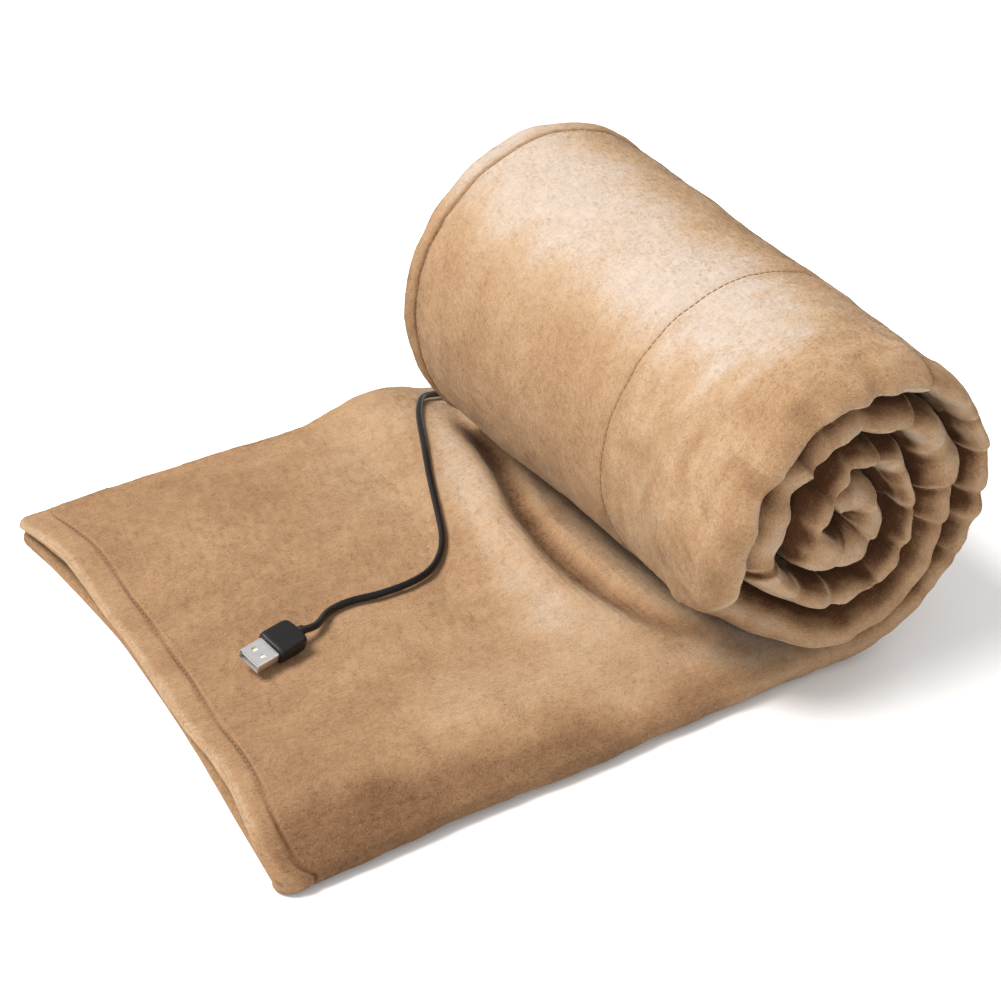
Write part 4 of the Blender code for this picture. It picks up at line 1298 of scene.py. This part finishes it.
def cap_corners(ring):
    """Faces that close one end of the cloth: each wall point is joined to the skin beside it."""
    marks = [outline[index] for index in ring]
    skin = [i for i, mark in enumerate(marks) if not mark.wall and mark.kind != "edge"]
    walls = [i for i, mark in enumerate(marks) if mark.wall][::-1]
    edges = [i for i, mark in enumerate(marks) if mark.kind == "edge"]
    y_at = [y_grid[0, ring[i]] for i in range(len(ring))]
    middle = len(skin) // 2
    partner = []
    for wall in walls:
        side = skin[:middle] if marks[wall].layer < 0 or (
            marks[wall].kind == "nose" and marks[wall].value < 0) else skin[middle:]
        nearest = min(side, key=lambda i: abs(y_at[i] - y_at[wall]))
        partner.append(skin.index(nearest))
    partner = list(np.maximum.accumulate(partner))
    faces = [[edges[0]] + skin[:partner[0] + 1] + [walls[0]]]
    for first, second, start, end in zip(walls, walls[1:], partner, partner[1:]):
        faces.append(skin[start:end + 1] + [second, first])
    faces.append(skin[partner[-1]:] + [edges[1], walls[-1]])
    return [[ring[i] for i in face] for face in faces if len(face) > 2]


def faces_between(row, low_every, high_every, kept):
    """Faces between two neighbouring stations, each fine or coarse."""
    total = len(outline)
    shared = kept + [kept[0] + total]
    faces = []
    for first, second in zip(shared, shared[1:]):
        below = [(row, index % total) for index in column_span(first, second, low_every)]
        above = [(row + 1, index % total) for index in column_span(first, second, high_every)]
        if len(below) == len(above):
            for a, b, c, d in zip(below, below[1:], above[1:], above):
                faces.append([a, b, c, d])
        else:
            faces.append(below + above[::-1])
    return faces


def skin_grid():
    """One closed mesh through the grid's points, with its tone and its flat coordinates."""
    builder = bmesh.new()
    uv_layer = builder.loops.layers.uv.new("cloth")
    everything = list(range(len(outline)))
    kept = [index for index, mark in enumerate(outline) if mark.coarse]
    fine = on_flat | (turn_of < FINE_TURNS)
    last_row = len(share_of) - 1
    places = {}
    for row in range(last_row + 1):
        for column in everything if fine[row] else kept:
            places[row, column] = builder.verts.new(grid[row, column])
    faces = []
    for row in range(last_row):
        faces += faces_between(row, fine[row], fine[row + 1], kept)
    for row in (0, last_row):
        for ring in cap_corners(everything if fine[row] else kept):
            faces.append([(row, column) for column in ring])
    for corners in faces:
        face = builder.faces.new([places[corner] for corner in corners])
        for loop, corner in zip(face.loops, corners):
            loop[uv_layer].uv = cloth_uv[corner]
    bmesh.ops.triangulate(builder, faces=[face for face in builder.faces if len(face.verts) > 4])
    mesh = finish_mesh(builder, "throw_cloth")
    tones = mesh.attributes.new("pile_mottle_and_painted_light", "FLOAT", "POINT")
    tones.data.foreach_set("value", [tone_grid[place] for place in places])
    return mesh


throw_cloth = add_piece("throw_cloth", skin_grid())
throw_cloth.data.calc_loop_triangles()
print("throw:", len(throw_cloth.data.loop_triangles), "triangles")

# %% [markdown]
# ## Finishes
# Flannel plush has a short, brushed pile. Here its tone carries random mottling and painted
# light and shade, and a ramp of five tans turns it into a colour. Three noises are added to
# the tone first, two of them drawn out along the cloth, for streaks and a fine grain. They run
# on the cloth's own coordinates. A weak sheen gives a soft light on the surfaces that are
# seen at a low angle.

# %% Plush material
PLUSH_RAMP = (
    # tone, colour
    (0.00, (0.070, 0.030, 0.014)), (0.25, (0.165, 0.090, 0.047)),
    (0.50, (0.290, 0.173, 0.092)), (0.68, (0.370, 0.251, 0.152)),
    (0.86, (0.425, 0.348, 0.285)),
)
PLUSH_NOISES = (
    # scale, stretch along the cloth, strength
    (130.0, 0.40, 0.05), (420.0, 0.60, 0.08), (1300.0, 1.0, 0.13),
)


PLUSH_VALUES = {
    "Roughness": 0.85, "Specular IOR Level": 0.04,
    "Sheen Weight": 0.16, "Sheen Roughness": 0.35, "Sheen Tint": (0.95, 0.76, 0.55, 1.0),
}
PLUSH_GRAIN = (1100.0, 0.5, 0.0002)      # scale, strength and depth of its bumps
PLUSH_DETAIL = 2.0


def new_material(name):
    """A material, its node tree and its surface shader."""
    material = bpy.data.materials.new(name)
    material.use_nodes = True
    tree = material.node_tree
    return material, tree, tree.nodes["Principled BSDF"]


def set_values(node, values):
    for socket, value in values.items():
        node.inputs[socket].default_value = value


def noise_field(tree, source, scale, detail, stretch=(1.0, 1.0, 1.0)):
    """A noise texture on stretched coordinates; returns its value socket."""
    mapping = tree.nodes.new("ShaderNodeMapping")
    texture = tree.nodes.new("ShaderNodeTexNoise")
    set_values(mapping, {"Scale": stretch})
    set_values(texture, {"Scale": scale, "Detail": detail})
    tree.links.new(source, mapping.inputs["Vector"])
    tree.links.new(mapping.outputs["Vector"], texture.inputs["Vector"])
    return texture.outputs["Fac"]


def add_bumps(tree, shader, height, strength, depth):
    """Fine grain that is too small for the mesh."""
    bump = tree.nodes.new("ShaderNodeBump")
    set_values(bump, {"Strength": strength, "Distance": depth})
    tree.links.new(height, bump.inputs["Height"])
    tree.links.new(bump.outputs["Normal"], shader.inputs["Normal"])


def add_speck(tree, tone, speck, strength):
    """Adds noise about its middle value of one half to a tone."""
    centred = tree.nodes.new("ShaderNodeMath")
    centred.operation = "MULTIPLY_ADD"
    tree.links.new(speck, centred.inputs[0])
    centred.inputs[1].default_value = 2.0 * strength
    centred.inputs[2].default_value = -strength
    total = tree.nodes.new("ShaderNodeMath")
    total.operation = "ADD"
    tree.links.new(centred.outputs[0], total.inputs[0])
    tree.links.new(tone, total.inputs[1])
    return total.outputs[0]


def color_ramp(tree, value, rows):
    ramp = tree.nodes.new("ShaderNodeValToRGB")
    stops = ramp.color_ramp.elements
    while len(stops) < len(rows):
        stops.new(0.5)
    for stop, (position, color) in zip(stops, rows):
        stop.position = position
        stop.color = (*color, 1.0)
    tree.links.new(value, ramp.inputs["Fac"])
    return ramp.outputs["Color"]


def make_plush(name):
    """Brushed plush, coloured by the mesh's tone, painted light and shade included, with noise on
    it.
    """
    material, tree, shader = new_material(name)
    where = tree.nodes.new("ShaderNodeUVMap")
    where.uv_map = "cloth"
    light_and_mottle = tree.nodes.new("ShaderNodeAttribute")
    light_and_mottle.attribute_name = "pile_mottle_and_painted_light"
    tone = light_and_mottle.outputs["Fac"]
    for scale, stretch, strength in PLUSH_NOISES:
        speck = noise_field(tree, where.outputs["UV"], scale, PLUSH_DETAIL,
                            (stretch, 1.0, 1.0))
        tone = add_speck(tree, tone, speck, strength)
    tree.links.new(color_ramp(tree, tone, PLUSH_RAMP), shader.inputs["Base Color"])
    set_values(shader, PLUSH_VALUES)
    scale, strength, depth = PLUSH_GRAIN
    height = noise_field(tree, where.outputs["UV"], scale, PLUSH_DETAIL)
    add_bumps(tree, shader, height, strength, depth)
    return material


tan_plush = make_plush("tan_plush_pile")
throw_cloth.data.materials.append(tan_plush)
print("plush made")

# %% Lead and plug materials
EVEN = (1.0, 1.0, 1.0)
HARD_DETAIL = 4.0
LIGHTER = (1.5, 0.001)           # factor and addend of a rubber's lighter specks
RUBBER_SHINE = 0.30
RUBBER_BUMPS = 0.4
DARKER = 0.78                    # factor of a plate's darker lines
LINE_SCALE = 900.0
LINE_STRETCH = (0.2, 1.0, 1.0)


def speckled(tree, scale, stretch, first, second):
    """Noise on the piece's own coordinates, and a blend of two colours by it."""
    where = tree.nodes.new("ShaderNodeTexCoord")
    speck = noise_field(tree, where.outputs["Object"], scale, HARD_DETAIL, stretch)
    blend = tree.nodes.new("ShaderNodeMix")
    blend.data_type = "RGBA"
    set_values(blend, {"A": (*first, 1.0), "B": (*second, 1.0)})
    tree.links.new(speck, blend.inputs["Factor"])
    return speck, blend.outputs["Result"]


def make_rubber(name, color, roughness, grain_scale, depth):
    """Rubber, plastic or thread: one colour with a faint, fine grain."""
    material, tree, shader = new_material(name)
    lighter = tuple(min(1.0, value * LIGHTER[0] + LIGHTER[1]) for value in color)
    speck, mixed = speckled(tree, grain_scale, EVEN, color, lighter)
    tree.links.new(mixed, shader.inputs["Base Color"])
    set_values(shader, {"Roughness": roughness, "Specular IOR Level": RUBBER_SHINE})
    add_bumps(tree, shader, speck, RUBBER_BUMPS, depth)
    return material


def make_plate(name, color, roughness):
    """Plated metal with faint drawing lines along the shell."""
    material, tree, shader = new_material(name)
    darker = tuple(value * DARKER for value in color)
    _lines, mixed = speckled(tree, LINE_SCALE, LINE_STRETCH, darker, color)
    tree.links.new(mixed, shader.inputs["Base Color"])
    set_values(shader, {"Metallic": 1.0, "Roughness": roughness})
    return material


black_sleeve = make_rubber("black_lead_sleeve", (0.0035, 0.003, 0.0035), 0.34, 1500.0, 0.00005)
black_grip = make_rubber("black_plug_grip", (0.005, 0.004, 0.004), 0.45, 2600.0, 0.00004)
plated_steel = make_plate("plug_shell_plate", (0.86, 0.85, 0.84), 0.36)
gilt_contact = make_plate("contact_gilt", (0.80, 0.60, 0.26), 0.25)
tongue_plastic = make_rubber("tongue_plastic", (0.60, 0.60, 0.58), 0.45, 1200.0, 0.00003)
lead_cord.data.materials.append(black_sleeve)
print("lead and plug materials made")

# %% [markdown]
# ## Pile
# The pile of flannel plush is short and brushed flat. Here it is real shape: some 700,000
# single triangles of about a millimetre, wider than fibres are, rooted in the skin wherever
# it can be seen and laid along the nap. The nap turns a little from patch to patch, as it
# does after folding. Blades are joined into a few large pieces, which Blender handles faster
# than many small ones.

# %% Where the pile grows
BLADE_LENGTH = 0.00115
BLADE_WIDTH = 0.00042
BLADE_STAND = 0.060     # how steeply the blades stand, 0 lying and 1 upright
SEAM_BARE = 0.0007      # half width of the bare line along a seam
PILE_PIECES = 4
BLADES_A_PIECE = 178000
FRONT_DEPTH = 0.024     # how deep between the turns the pile is still seen, front and back
BACK_DEPTH = 0.010
END_DEPTH = 0.006       # how far from the end hem and the inner end all sides have it
FINISH_DEPTH = 0.004
TABLE_DEPTH = 0.012     # how far from the soft fold the underside has it
LEAST_ROOM = 0.004      # air under the roll in which the flat stretch still has pile

naps = np.gradient(grid, axis=0)
naps = naps / np.maximum(np.linalg.norm(naps, axis=2, keepdims=True), TINY)


def on_seams():
    """Points so close to a stitch line that they stay bare."""
    outside = is_lower & is_skin & ~flat_rows
    sewn = (np.abs(y_grid - SEAM_Y) < SEAM_BARE) & outside
    sewn = sewn & (turn_at > TABLE_TURN) & (turn_at < 1.0)
    sewn |= (np.abs(from_back - HEM_STITCH) < SEAM_BARE) & (is_lower | ~flat_rows)
    return sewn | flat_rows & (np.abs(stations["start"] - end_stitch(y_grid)) < SEAM_BARE)


def has_pile():
    """Whether the pile grows at each grid point."""
    front = (from_front < FRONT_DEPTH) & is_skin
    back = (from_back < BACK_DEPTH) & ~is_wall
    outer = is_lower & is_skin & ~flat_rows & (turn_at > TABLE_TURN) & (turn_at < 1.0)
    room = underside((grid + PLAN_SHIFT)[:, :, 0], y_grid) - STACK
    top = ~is_lower & is_skin & flat_rows & (room > LEAST_ROOM)
    end = flat_rows & (stations["start"] < END_DEPTH)
    finish = ~flat_rows & (stations["finish"] < FINISH_DEPTH) & ~is_wall
    touching = flat_rows & is_lower & is_skin & (from_front > TABLE_DEPTH)
    return (front | back | outer | top | end | finish) & ~(touching & ~end) & ~on_seams()


def cell_weights():
    """Area of each cell of the grid, or nothing where it has no pile."""
    following = np.roll(grid, -1, axis=1)
    first = following[1:] - grid[:-1]
    second = grid[1:] - following[:-1]
    area = 0.5 * np.linalg.norm(np.cross(first, second), axis=2)
    share = 1.0 * has_pile()
    return area * share[:-1] * share[1:]


weights = cell_weights()
pile_area = float(weights.sum())
print("pile grows on", round(pile_area, 3), "square metres")

# %% Blades
NAP_PATCH = (0.9, 0.050)            # how far the nap turns, and over what size of patch
NAP_STREAK = (1.1, 0.013, 0.010, 9.0)    # how far, length, width and shift in the noise
NAP_LOOSE = 0.35                    # how far single blades turn besides
STAND_SPREAD = 0.02
STAND_LIMITS = (0.02, 0.2)
LENGTH_SPREAD = (0.75, 0.5)         # least share of the length or width, and what is added
WIDTH_SPREAD = (0.8, 0.4)
SIDE_SPREAD = 0.05
ROOT_LIFT = 0.00001
SHADING_FACE = 0.20                 # share of a blade's own side in the normal it is lit by
SHADING_SPREAD = 0.10
TONE_STEPS = np.array((-0.06, -0.06, 0.09))    # darker at both roots as painted shade down in the pile, paler at the tip
TONE_SPREAD = 0.06
PILE_SEED = 700

nap_clouds = Clouds(51)


def between(field, row, column, down, right):
    """A field's value inside a grid cell, from its four corners."""
    after = (column + 1) % field.shape[1]
    down, right = down[:, None], right[:, None]
    near = mix(field[row, column], field[row, after], right)
    far = mix(field[row + 1, column], field[row + 1, after], right)
    return mix(near, far, down)


def unit(vectors):
    return vectors / np.maximum(np.linalg.norm(vectors, axis=1, keepdims=True), TINY)


def pick_roots(random, count):
    """Place, normal, nap, cloth coordinates and tone at random roots, even by area."""
    odds = weights.ravel() / weights.sum()
    cells = random.choice(len(odds), size=count, p=odds)
    row, column = np.divmod(cells, weights.shape[1])
    down, right = random.random(count), random.random(count)
    fields = (grid, final_normals, naps, cloth_uv, tone_grid[:, :, None])
    return [between(field, row, column, down, right) for field in fields]


def blade_directions(random, up, nap, place):
    """Direction from root to tip: the nap, turned from patch to patch and raised a little."""
    nap = unit(nap - up * np.sum(nap * up, axis=1, keepdims=True))
    broad = nap_clouds(place[:, 0] / NAP_PATCH[1], place[:, 1] / NAP_PATCH[1])
    turn, length, width, shift = NAP_STREAK
    narrow = nap_clouds(place[:, 0] / length + shift, place[:, 1] / width)
    turned = NAP_PATCH[0] * broad + turn * narrow + NAP_LOOSE * random.normal(size=len(up))
    turned = turned[:, None]
    laid = nap * np.cos(turned) + np.cross(up, nap) * np.sin(turned)
    stand = BLADE_STAND + STAND_SPREAD * narrow + STAND_SPREAD * random.normal(size=len(up))
    stand = np.clip(stand, *STAND_LIMITS)[:, None]
    return unit(laid * (1.0 - stand) + up * stand)


def grow_blades(random, count):
    """Corners, shading normals, cloth coordinates and tones of the blades."""
    root, up, nap, place, tone = pick_roots(random, count)
    up = unit(up)
    along = blade_directions(random, up, nap, place)
    length, width = [
        size * (least + added * random.random(count))[:, None]
        for size, (least, added) in ((BLADE_LENGTH, LENGTH_SPREAD), (BLADE_WIDTH, WIDTH_SPREAD))
    ]
    flat_side = unit(np.cross(up, along) + SIDE_SPREAD * random.normal(size=(count, 3)))
    start = root + ROOT_LIFT * up
    half = 0.5 * width * flat_side
    corners = np.stack((start - half, start + half, start + length * along), axis=1)
    facing = np.cross(corners[:, 1] - corners[:, 0], corners[:, 2] - corners[:, 0])
    wrong = np.sum(facing * up, axis=1) < 0.0
    corners[wrong] = corners[wrong][:, (1, 0, 2)]
    corners[:, :, 2] = np.maximum(corners[:, :, 2], 0.0)
    facing = unit(facing * np.where(wrong, -1.0, 1.0)[:, None])
    shading = up + SHADING_FACE * facing + SHADING_SPREAD * random.normal(size=(count, 3))
    tones = tone + TONE_STEPS + TONE_SPREAD * random.normal(size=(count, 1))
    return corners, unit(shading), place, tones


def make_pile(index):
    """One piece of pile: all its blades as loose triangles in one mesh."""
    random = np.random.default_rng(PILE_SEED + index)
    corners, shading, place, tones = grow_blades(random, BLADES_A_PIECE)
    count = len(corners)
    mesh = bpy.data.meshes.new(f"pile_{index + 1}")
    mesh.vertices.add(3 * count)
    mesh.vertices.foreach_set("co", corners.astype(np.float32).ravel())
    mesh.loops.add(3 * count)
    mesh.loops.foreach_set("vertex_index", np.arange(3 * count, dtype=np.int32))
    mesh.polygons.add(count)
    mesh.polygons.foreach_set("loop_start", np.arange(0, 3 * count, 3, dtype=np.int32))
    mesh.update()
    uv_layer = mesh.uv_layers.new(name="cloth")
    uv_layer.data.foreach_set("uv", np.repeat(place, 3, axis=0).astype(np.float32).ravel())
    tone_layer = mesh.attributes.new("pile_mottle_and_painted_light", "FLOAT", "POINT")
    tone_layer.data.foreach_set("value", tones.astype(np.float32).ravel())
    mesh.shade_smooth()
    mesh.normals_split_custom_set_from_vertices(np.repeat(shading, 3, axis=0))
    mesh.materials.append(tan_plush)
    return add_piece(f"pile_{index + 1}", mesh)


pile = [make_pile(index) for index in range(PILE_PIECES)]
blade_count = PILE_PIECES * BLADES_A_PIECE
print("blades:", blade_count, "or", round(blade_count / pile_area / 1e6, 2), "a square mm")

# %% [markdown]
# ## Plug
# The metal shell and the tongue keep the plain solids' shapes. The moulded grip is made again
# with a softer outline and the three shallow ribs of its neck, and the tongue gets its four
# contacts. A grip is a loft: rounded sections joined from end to end.

# %% Plug pieces
GRIP_SECTIONS = (
    # distance from the grip's back end, width, thickness, squareness
    (-0.0035, 0.0040, 0.0040, 2.0), (-0.0034, 0.0044, 0.0044, 2.0),
    (-0.0028, 0.0046, 0.0046, 2.0), (-0.0025, 0.0042, 0.0042, 2.0),
    (-0.0021, 0.0042, 0.0042, 2.0), (-0.0018, 0.0049, 0.0048, 2.0),
    (-0.0012, 0.0050, 0.0049, 2.0), (-0.0009, 0.0045, 0.0045, 2.0),
    (-0.0004, 0.0050, 0.0048, 2.0), (-0.0001, 0.0075, 0.0054, 2.8),
    (0.0001, 0.0105, 0.0062, 4.0), (0.0004, 0.0124, 0.0069, 4.6),
    (0.0009, 0.0137, 0.0075, 5.2), (0.0020, 0.0146, 0.0080, 6.0),
    (0.0035, 0.0149, 0.0082, 6.6), (0.0060, 0.0150, 0.0082, 7.0),
    (0.0095, 0.0150, 0.0082, 7.0), (0.0130, 0.0150, 0.0082, 7.0),
    (0.0146, 0.0149, 0.0081, 6.6), (0.0154, 0.0146, 0.0078, 6.2),
    (0.0158, 0.0142, 0.0074, 5.8), (0.0160, 0.0138, 0.0070, 5.4),
)
GRIP_SIDES = 56
CONTACT_PLACES = (-0.0035, -0.0010, 0.0010, 0.0035)     # across the tongue
CONTACT_SIZE = (0.0072, 0.0011, 0.0002)
CONTACT_START = 0.0190      # distance from the grip's back end
CONTACT_EDGE = 0.00006      # width of their bevelled edges
CONTACT_GAP = 0.00005       # keeps their underside clear of the tongue's face
TONGUE_RAISE = 0.0007       # the tongue sits above the shell's middle
TONGUE_THICKNESS = 0.0017
SHARP_ANGLE = 50.0


def rounded_outline(width, thickness, squareness, steps):
    """Points of a rounded rectangle; a squareness of 2 gives an ellipse."""
    points = []
    for step in range(steps):
        angle = math.tau * (step + 0.5) / steps
        across, up = math.cos(angle), math.sin(angle)
        scale = (abs(across) ** squareness + abs(up) ** squareness) ** (-1.0 / squareness)
        points.append((0.5 * width * across * scale, 0.5 * thickness * up * scale))
    return points


def join_rings(builder, rings):
    """Faces between neighbouring rings of points, and one on each end."""
    sides = len(rings[0])
    for ring, following in zip(rings, rings[1:]):
        for index in range(sides):
            after = (index + 1) % sides
            builder.faces.new((ring[index], ring[after], following[after], following[index]))
    builder.faces.new(rings[0])
    builder.faces.new(rings[-1])


def make_grip():
    """The moulded grip: its sections, set up along the plug's length and joined."""
    builder = bmesh.new()
    rings = []
    for distance, width, thickness, squareness in GRIP_SECTIONS:
        points = rounded_outline(width, thickness, squareness, GRIP_SIDES)
        rings.append([builder.verts.new(plug_frame @ Vector((distance, a, b)))
                      for a, b in points])
    join_rings(builder, rings)
    return add_piece("plug_grip", finish_mesh(builder, "plug_grip", SHARP_ANGLE))


def make_contacts():
    """Four thin contacts on the tongue's face, as one mesh of bevelled strips."""
    builder = bmesh.new()
    length, width, height = CONTACT_SIZE
    raised = TONGUE_RAISE + TONGUE_THICKNESS / 2 + height / 2 + CONTACT_GAP
    for across in CONTACT_PLACES:
        made = bmesh.ops.create_cube(builder, size=1.0)["verts"]
        bmesh.ops.scale(builder, vec=(length, width, height), verts=made)
        place = Vector((CONTACT_START + length / 2, across, raised))
        bmesh.ops.translate(builder, vec=place, verts=made)
    bmesh.ops.bevel(builder, geom=builder.edges[:], offset=CONTACT_EDGE, segments=1,
                    affect="EDGES")
    bmesh.ops.transform(builder, matrix=plug_frame, verts=builder.verts)
    return add_piece("plug_contacts", finish_mesh(builder, "plug_contacts", SHARP_ANGLE))


plug_grip = make_grip()
plug_grip.data.materials.append(black_grip)
plug_contacts = make_contacts()
plug_contacts.data.materials.append(gilt_contact)
for node, finish in (("plug_shell", plated_steel), ("plug_tongue", tongue_plastic)):
    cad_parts[node].data.materials.clear()
    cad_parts[node].data.materials.append(finish)
print("plug made")

# %% [markdown]
# ## Sewing
# The hems and the long seam are sewn with a plain lock stitch of about three millimetres.
# Each stitch shows as one short sunk loop of thread, so a stitch line is a row of small
# capsules that follows the bottom of its groove. All of them are joined into one piece.

# %% Stitch lines
STITCH_PITCH = 0.0032
STITCH_LENGTH = 0.0024
STITCH_RADIUS = 0.00030
STITCH_SIDES = 6
STITCH_RINGS = (
    # place along the stitch, girth, as shares of its length and radius
    (-0.50, 0.30), (-0.44, 0.75), (-0.25, 1.0), (0.25, 1.0), (0.44, 0.75), (0.50, 0.30),
)
SEAM_TURNS = (0.07, 1.02)        # turns over which the seam's stitches run
FAR_HEM_TURNS = (0.10, 1.05)
THREAD_ANGLE = 80.0


def skin_column(kind, value):
    """The outline's point of one kind and place on the lower layer's skin."""
    for column, mark in enumerate(outline):
        if mark.layer < 0 and not mark.wall and mark.kind == kind and mark.value == value:
            return column


def line_round_roll(column, turns):
    """Points and normals of one column of the grid, over some of the turns."""
    rows = np.nonzero((turn_of > turns[0]) & (turn_of < turns[1]) & ~on_flat)[0]
    return grid[rows, column], final_normals[rows, column]


def line_at_end_hem():
    """The line that runs across the flat stretch beside its end hem."""
    points, ups = [], []
    distances = from_start[:flat_count]
    for column, mark in enumerate(outline):
        if mark.layer < 1 or mark.wall or mark.kind == "edge":
            continue
        wanted = float(end_stitch(y_grid[0, column]))
        row = int(np.searchsorted(distances, wanted)) - 1
        share = (wanted - distances[row]) / (distances[row + 1] - distances[row])
        points.append(mix(grid[row, column], grid[row + 1, column], share))
        ups.append(final_normals[row, column])
    return np.array(points), np.array(ups)


def value_at(values, travelled, distance):
    """A line's place or normal at a distance along it."""
    return Vector([np.interp(distance, travelled, values[:, axis]) for axis in range(3)])


def add_stitch(builder, start, end, up):
    """One capsule of thread between two points."""
    along = (end - start).normalized()
    side = along.cross(up).normalized()
    up = side.cross(along)
    middle = 0.5 * (start + end) + up * 0.5 * STITCH_RADIUS
    rings = []
    for place, girth in STITCH_RINGS:
        ring = []
        for step in range(STITCH_SIDES):
            angle = math.tau * step / STITCH_SIDES
            out = side * math.cos(angle) + up * math.sin(angle)
            ring.append(builder.verts.new(
                middle + along * place * STITCH_LENGTH + out * girth * STITCH_RADIUS))
        rings.append(ring)
    join_rings(builder, rings)


def add_stitches(builder, points, ups):
    """Stitches at an even pitch along a line on the skin."""
    lengths = np.linalg.norm(np.diff(points, axis=0), axis=1)
    travelled = np.concatenate(((0.0,), np.cumsum(lengths)))
    count = int(travelled[-1] / STITCH_PITCH)
    for index in range(count):
        middle = (index + 0.5) * STITCH_PITCH
        start = value_at(points, travelled, middle - 0.5 * STITCH_LENGTH)
        end = value_at(points, travelled, middle + 0.5 * STITCH_LENGTH)
        add_stitch(builder, start, end, value_at(ups, travelled, middle))
    return count


def make_sewing():
    """All stitches as one piece."""
    builder = bmesh.new()
    lines = (
        line_round_roll(skin_column("seam", 0.0), SEAM_TURNS),
        line_round_roll(skin_column("hem", HEM_STITCH), FAR_HEM_TURNS),
        line_at_end_hem(),
    )
    counts = [add_stitches(builder, points, ups) for points, ups in lines]
    print("stitches on the seam, the far hem and the end hem:", counts)
    return add_piece("sewing_thread", finish_mesh(builder, "sewing_thread", THREAD_ANGLE))


sewing = make_sewing()
sewing.data.materials.append(make_rubber("thread", (0.170, 0.100, 0.055), 0.70, 2400.0, 0.00003))

# %% [markdown]
# ## Floor and light
# A plain pale floor and soft studio light. The key is a large soft panel high on the left and
# a little behind, which lights the roll's upper left, where a sheen band is also painted, and
# leaves its front in soft shade. A weak fill, a weak panel on the right and a pale surround keep
# the shadows open.

# %% Floor and light
FLOOR_HALF = 6.0
FLOOR_GREY = 0.86
SURROUND = 0.56         # strength of the light from all around
PANELS = (
    # name, place, what it is aimed at, size, energy, colour
    ("key_panel", (-1.12, 0.38, 2.08), (0.0, 0.0, 0.05), 1.25, 90.0, (1.0, 0.98, 0.96)),
    ("fill_panel", (-0.75, -1.35, 0.62), (0.0, 0.0, 0.05), 1.0, 9.0, (1.0, 1.0, 1.0)),
    ("side_panel", (1.50, -0.10, 1.00), (0.1, 0.0, 0.05), 1.4, 9.0, (1.0, 1.0, 1.0)),
)


def make_floor():
    """A large square of one pale grey."""
    builder = bmesh.new()
    bmesh.ops.create_grid(builder, x_segments=1, y_segments=1, size=FLOOR_HALF)
    mesh = bpy.data.meshes.new("floor")
    builder.to_mesh(mesh)
    builder.free()
    material, _tree, shader = new_material("pale_floor")
    color = (FLOOR_GREY, FLOOR_GREY, FLOOR_GREY, 1.0)
    set_values(shader, {"Base Color": color, "Roughness": 0.9})
    mesh.materials.append(material)
    return add_piece("floor", mesh)


def add_panel(name, place, aim, size, energy, color):
    """A round, soft light that looks at a point."""
    data = bpy.data.lights.new(name, "AREA")
    data.shape = "DISK"
    data.size = size
    data.energy = energy
    data.color = color
    panel = add_piece(name, data)
    panel.location = place
    aim_at = Vector(aim) - Vector(place)
    panel.rotation_euler = aim_at.to_track_quat("-Z", "Y").to_euler()


floor = make_floor()
for panel_values in PANELS:
    add_panel(*panel_values)
world = bpy.data.worlds.new("studio")
world.use_nodes = True
surround = world.node_tree.nodes["Background"]
set_values(surround, {"Color": (1.0, 1.0, 1.0, 1.0), "Strength": SURROUND})
bpy.context.scene.world = world
bpy.context.scene.view_settings.view_transform = "Standard"
print("floor and", len(PANELS), "panels of light")

# %% [markdown]
# ## Handing over
# Every piece rides on the one body. The throw, the lead and the plug's grip stand for their
# plain solids, which are hidden.

for piece, nodes_replaced, slot in (
    (throw_cloth, ("blanket",), "tan_plush"),
    (lead_cord, ("lead",), "black_sleeve"),
    (plug_grip, ("plug_body",), "black_grip"),
    (plug_contacts, (), "plated_steel"),
    (sewing, (), "tan_plush"),
    *((piece, (), "tan_plush") for piece in pile),
):
    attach(piece, "root")
    if nodes_replaced:
        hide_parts(*nodes_replaced)
